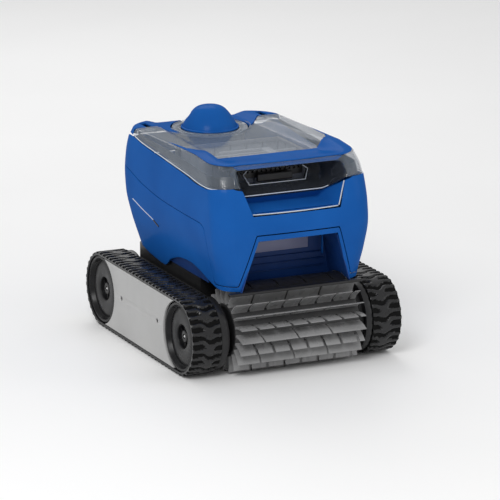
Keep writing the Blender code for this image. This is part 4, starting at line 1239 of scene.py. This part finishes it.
def make_side_panels():
    widest = math.asin(PANEL_HALF_HEIGHT / PANEL_HOLLOW_RADIUS)
    outline = []
    for end in (1, -1):
        for angle in spread(-widest, widest, 32):
            y, z = PANEL_HOLLOW_RADIUS * math.cos(angle), PANEL_HOLLOW_RADIUS * math.sin(angle)
            outline.append((end * (REACH - y), HUB_Z + end * z))
    pocket = [(0.0, -8.0), (4.0, -8.0), (4.0, 8.0), (0.0, 8.0)]
    for side_name, side in SIDES:
        low, high = node_box("side_panel_" + side_name)
        panel = plate("track_panel_" + side_name, [outline], (low.x, high.x))
        for end_name, _ in ENDS:
            name = "%s_%s" % (side_name, end_name)
            low, high = node_box("panel_screw_" + name)
            middle = (low + high) / 2
            cut(panel, lathe("pocket", pocket, middle, "x", 32))
            head = paint(screw("cover_screw_" + name, 3.4, high.x - low.x, middle, side, 1.7), BLACK)
            finish_piece(head, "chassis", ["panel_screw_" + name])
        paint(rounded(panel, 0.7, 2, 50.0), PANEL)
        finish_piece(panel, "chassis", ["side_panel_" + side_name])


# ---- brush -----------------------------------------------------------------------------------------
BLADE_ROWS = 20
BLADE_PITCH = 29.0
BLADE_LEAN = 0.10                              # in radians, 25 mm above the tube
# Half section of a blade, as (radius, half thickness)
BLADE_PROFILE = ((41.0, 2.6), (44.0, 1.5), (50.0, 1.1), (58.0, 0.9), (66.0, 0.8), (66.9, 0.4))
TUBE_RADIUS = 42.0
PEG_PROFILE = ((0.0, 1.3), (1.6, 1.3), (2.3, 0.8), (2.5, -1.5), (0.0, -1.5))


def blade_shape(start, end, angle):
    """One flexible blade: thin, leaning, with a thicker root and a rounded tip."""
    section = []
    for radius, half in BLADE_PROFILE + tuple((r, -h) for r, h in reversed(BLADE_PROFILE)):
        turn = angle + BLADE_LEAN * (max(radius - TUBE_RADIUS, 0.0) / 25.0) ** 1.6
        y, z = around(BRUSH, radius, turn)
        section.append((y - half * math.sin(turn), z + half * math.cos(turn)))
    steps = max(2, round((end - start) / 8))
    return capped([[(x, y, z) for y, z in section] for x in spread(start, end, steps)])


def peg_shape(centre, angle):
    """Small round peg head, standing along a radius of the brush."""
    rows = []
    for radius, lift in PEG_PROFILE:
        row = []
        for turn in spread(0.0, 2 * math.pi, 16)[:-1]:
            across, along = radius * math.cos(turn), radius * math.sin(turn)
            row.append((centre[0] + across,
                        centre[1] + lift * math.cos(angle) - along * math.sin(angle),
                        centre[2] + lift * math.sin(angle) + along * math.cos(angle)))
        rows.append(row)
    return grid(rows, loop=True)


def make_brush():
    half = node_box("brush_sleeve")[1].x
    tube_profile = [(TUBE_RADIUS, -half), (TUBE_RADIUS, half), (38.2, half), (38.2, -half)]
    # The tube is painted dark as shade between the rows
    tube = paint(lathe("brush_tube", tube_profile, (0, BRUSH.y, BRUSH.z)), BRUSH_SHADE)
    shapes, pegs = [], []
    for row in range(BLADE_ROWS):
        angle = math.pi + 2 * math.pi * row / BLADE_ROWS
        # Every second row has blades of double length, the others have a peg at each gap
        long_row = row % 2 == 0
        pitch, gap = (2 * BLADE_PITCH, 3.0) if long_row else (BLADE_PITCH, 4.8)
        place = BLADE_PITCH * (1.35 if long_row else 1.0) - half
        cuts = [-half - gap / 2]
        while place < half - 8.0:
            cuts.append(place)
            place += pitch
        cuts.append(half + gap / 2)
        shapes += [blade_shape(first + gap / 2, second - gap / 2, angle)
                   for first, second in zip(cuts, cuts[1:])]
        if not long_row:
            y, z = around(BRUSH, TUBE_RADIUS + 0.2, angle)
            pegs += [peg_shape((x, y, z), angle) for x in cuts[1:-1]]
    sleeve = paint(several("brush_blades", shapes, weld=0.001), BRUSH_GREY)
    heads = paint(several("brush_pegs", pegs, weld=0.001), BLACK)
    finish_piece(joined("brush_blades", [tube, sleeve, heads]), "brush", ["brush_sleeve"], 30.0)


# ---- filter ----------------------------------------------------------------------------------------
def make_filter():
    low, high = node_box("filter_basket")
    x0, x1, y0, y1, z0, z1 = low.x, high.x, low.y, high.y, low.z, high.z
    thin = 0.8
    walls = [((x0 + 1, y0 + 1, z0), (x1 - 1, y0 + 1 + thin, z1)),
             ((x0 + 1, y1 - 1 - thin, z0), (x1 - 1, y1 - 1, z1)),
             ((x0 + 1, y0 + 1, z0), (x0 + 1 + thin, y1 - 1, z1)),
  ((x1 - 1 - thin, y0 + 1, z0), (x1 - 1, y1 - 1, z1)),
             ((x0 + 1, y0 + 1, z0), (x1 - 1, -62.0, z0 + thin)),
 ((x0 + 1, -22.0, z0), (x1 - 1, y1 - 1, z0 + thin))]
    mesh = paint(blocks("basket_mesh", walls), MESH)
    bars = []
    rim, rib = 5.0, 3.0
    for z_low, z_high in ((z1 - 5.0, z1), (z0 + 55.0, z0 + 58.0), (z0, z0 + 4.0)):
        bars += [((x0, y0, z_low), (x1, y0 + rim, z_high)), ((x0, y1 - rim, z_low), (x1, y1, z_high)),
                 ((x0, y0 + rim, z_low), (x0 + rim, y1 - rim, z_high)),
        ((x1 - rim, y0 + rim, z_low), (x1, y1 - rim, z_high))]
    for x in spread(x0, x1 - rib, 6):
        bars += [((x, y0 + 0.2, z0 + 4), (x + rib, y0 + rib, z1 - 5)),
                 ((x, y1 - rib, z0 + 4), (x + rib, y1 - 0.2, z1 - 5))]
    for y in spread(y0, y1 - rib, 5):
        bars += [((x0 + 0.2, y, z0 + 4), (x0 + rib, y + rib, z1 - 5)),
                 ((x1 - rib, y, z0 + 4), (x1 - 0.2, y + rib, z1 - 5))]
    for x in spread(-60.0, 60.0, 4):
        bars.append(((x - 1.2, -22.0, z0 + thin), (x + 1.2, y1 - rim, z0 + 3.0)))
    frame_bars = paint(blocks("basket_frame", bars, 0.5, 1), FILTER)
    grips = [((-44.0, -52.0, z1 - 6.0), (44.0, -48.0, z1 - 1.5)),
             ((-44.0, -16.0, z1 - 6.0), (44.0, -12.0, z1 - 1.5)),
             ((28.0, -52.0, z1 - 6.0), (44.0, -12.0, z1 - 2.0)),
 ((x0 + 4, -34.0, z1 - 6.0), (x1 - 4, -30.0, z1 - 2.5))]
    grips += [((x, -53.0, z1 - 14.0), (x + 3.0, -47.0, z1 - 1.0)) for x in (-44.0, -26.0, -8.0, 10.0, 28.0)]
    handle = paint(blocks("basket_grip", grips, 0.6), LIGHT_GREY)
    piece = joined("strainer", [mesh, frame_bars, handle])
    finish_piece(piece, "chassis", ["filter_basket"])


# ---- floor, light and camera -------------------------------------------------------------------------
def aimed(made, place, target):
    """Puts a lamp or camera at a place, looking at a target; both in metres."""
    made.location = place
    made.rotation_euler = (Vector(target) - Vector(place)).to_track_quat("-Z", "Y").to_euler()
    return made


def make_floor_and_light():
    material, tree, shader = new_material("studio_floor", (0.93, 0.93, 0.93), 0.7)
    drift = ranged(tree, noise_of(tree, 2.0, 2.0), 0.3, 0.7, 0.0, 1.0)
    feed(shader, "Base Color", blended(tree, drift, (0.92, 0.92, 0.92), (0.94, 0.94, 0.94)))
    bpy.ops.mesh.primitive_plane_add(size=60.0, location=(0, 0, -0.0005))
    floor = bpy.context.object
    floor.name = "floor"
    floor.data.materials.append(material)

    world = bpy.data.worlds.new("studio")
    bpy.context.scene.world = world
    world.use_nodes = True
    background = world.node_tree.nodes["Background"]
    feed(background, "Color", (1.0, 1.0, 1.0, 1.0))
    feed(background, "Strength", 0.62)

    # Name, place, size and power
    lights = (("key", (-1.7, -2.0, 2.3), 1.2, 44.0), ("fill", (2.2, -1.6, 1.2), 1.4, 6.0),
              ("back", (0.4, 2.2, 2.0), 1.6, 16.0))
    for name, place, size, watts in lights:
        light = bpy.data.lights.new(name, "AREA")
        light.size = size
        light.energy = watts
        aimed(linked(name, light), place, (0, 0, 0.15))


def make_camera():
    camera = bpy.data.cameras.new("camera")
    camera.lens = 288.0
    camera.sensor_width = 36.0
    camera.clip_end = 100.0
    seen = aimed(linked("camera", camera), (-2.5909, -5.6049, 1.7896), (0.01324, 0.005, 0.14402))
    bpy.context.scene.camera = seen
    bpy.context.scene.view_settings.view_transform = "Standard"


make_camera()
make_floor_and_light()
make_hood()
make_lid()
make_bezel()
make_rear_deck()
make_front_scoop()
make_mouth_liner()
make_front_deck()
make_outlet()
make_belts()
make_wheels()
make_side_panels()
make_brush()
make_filter()
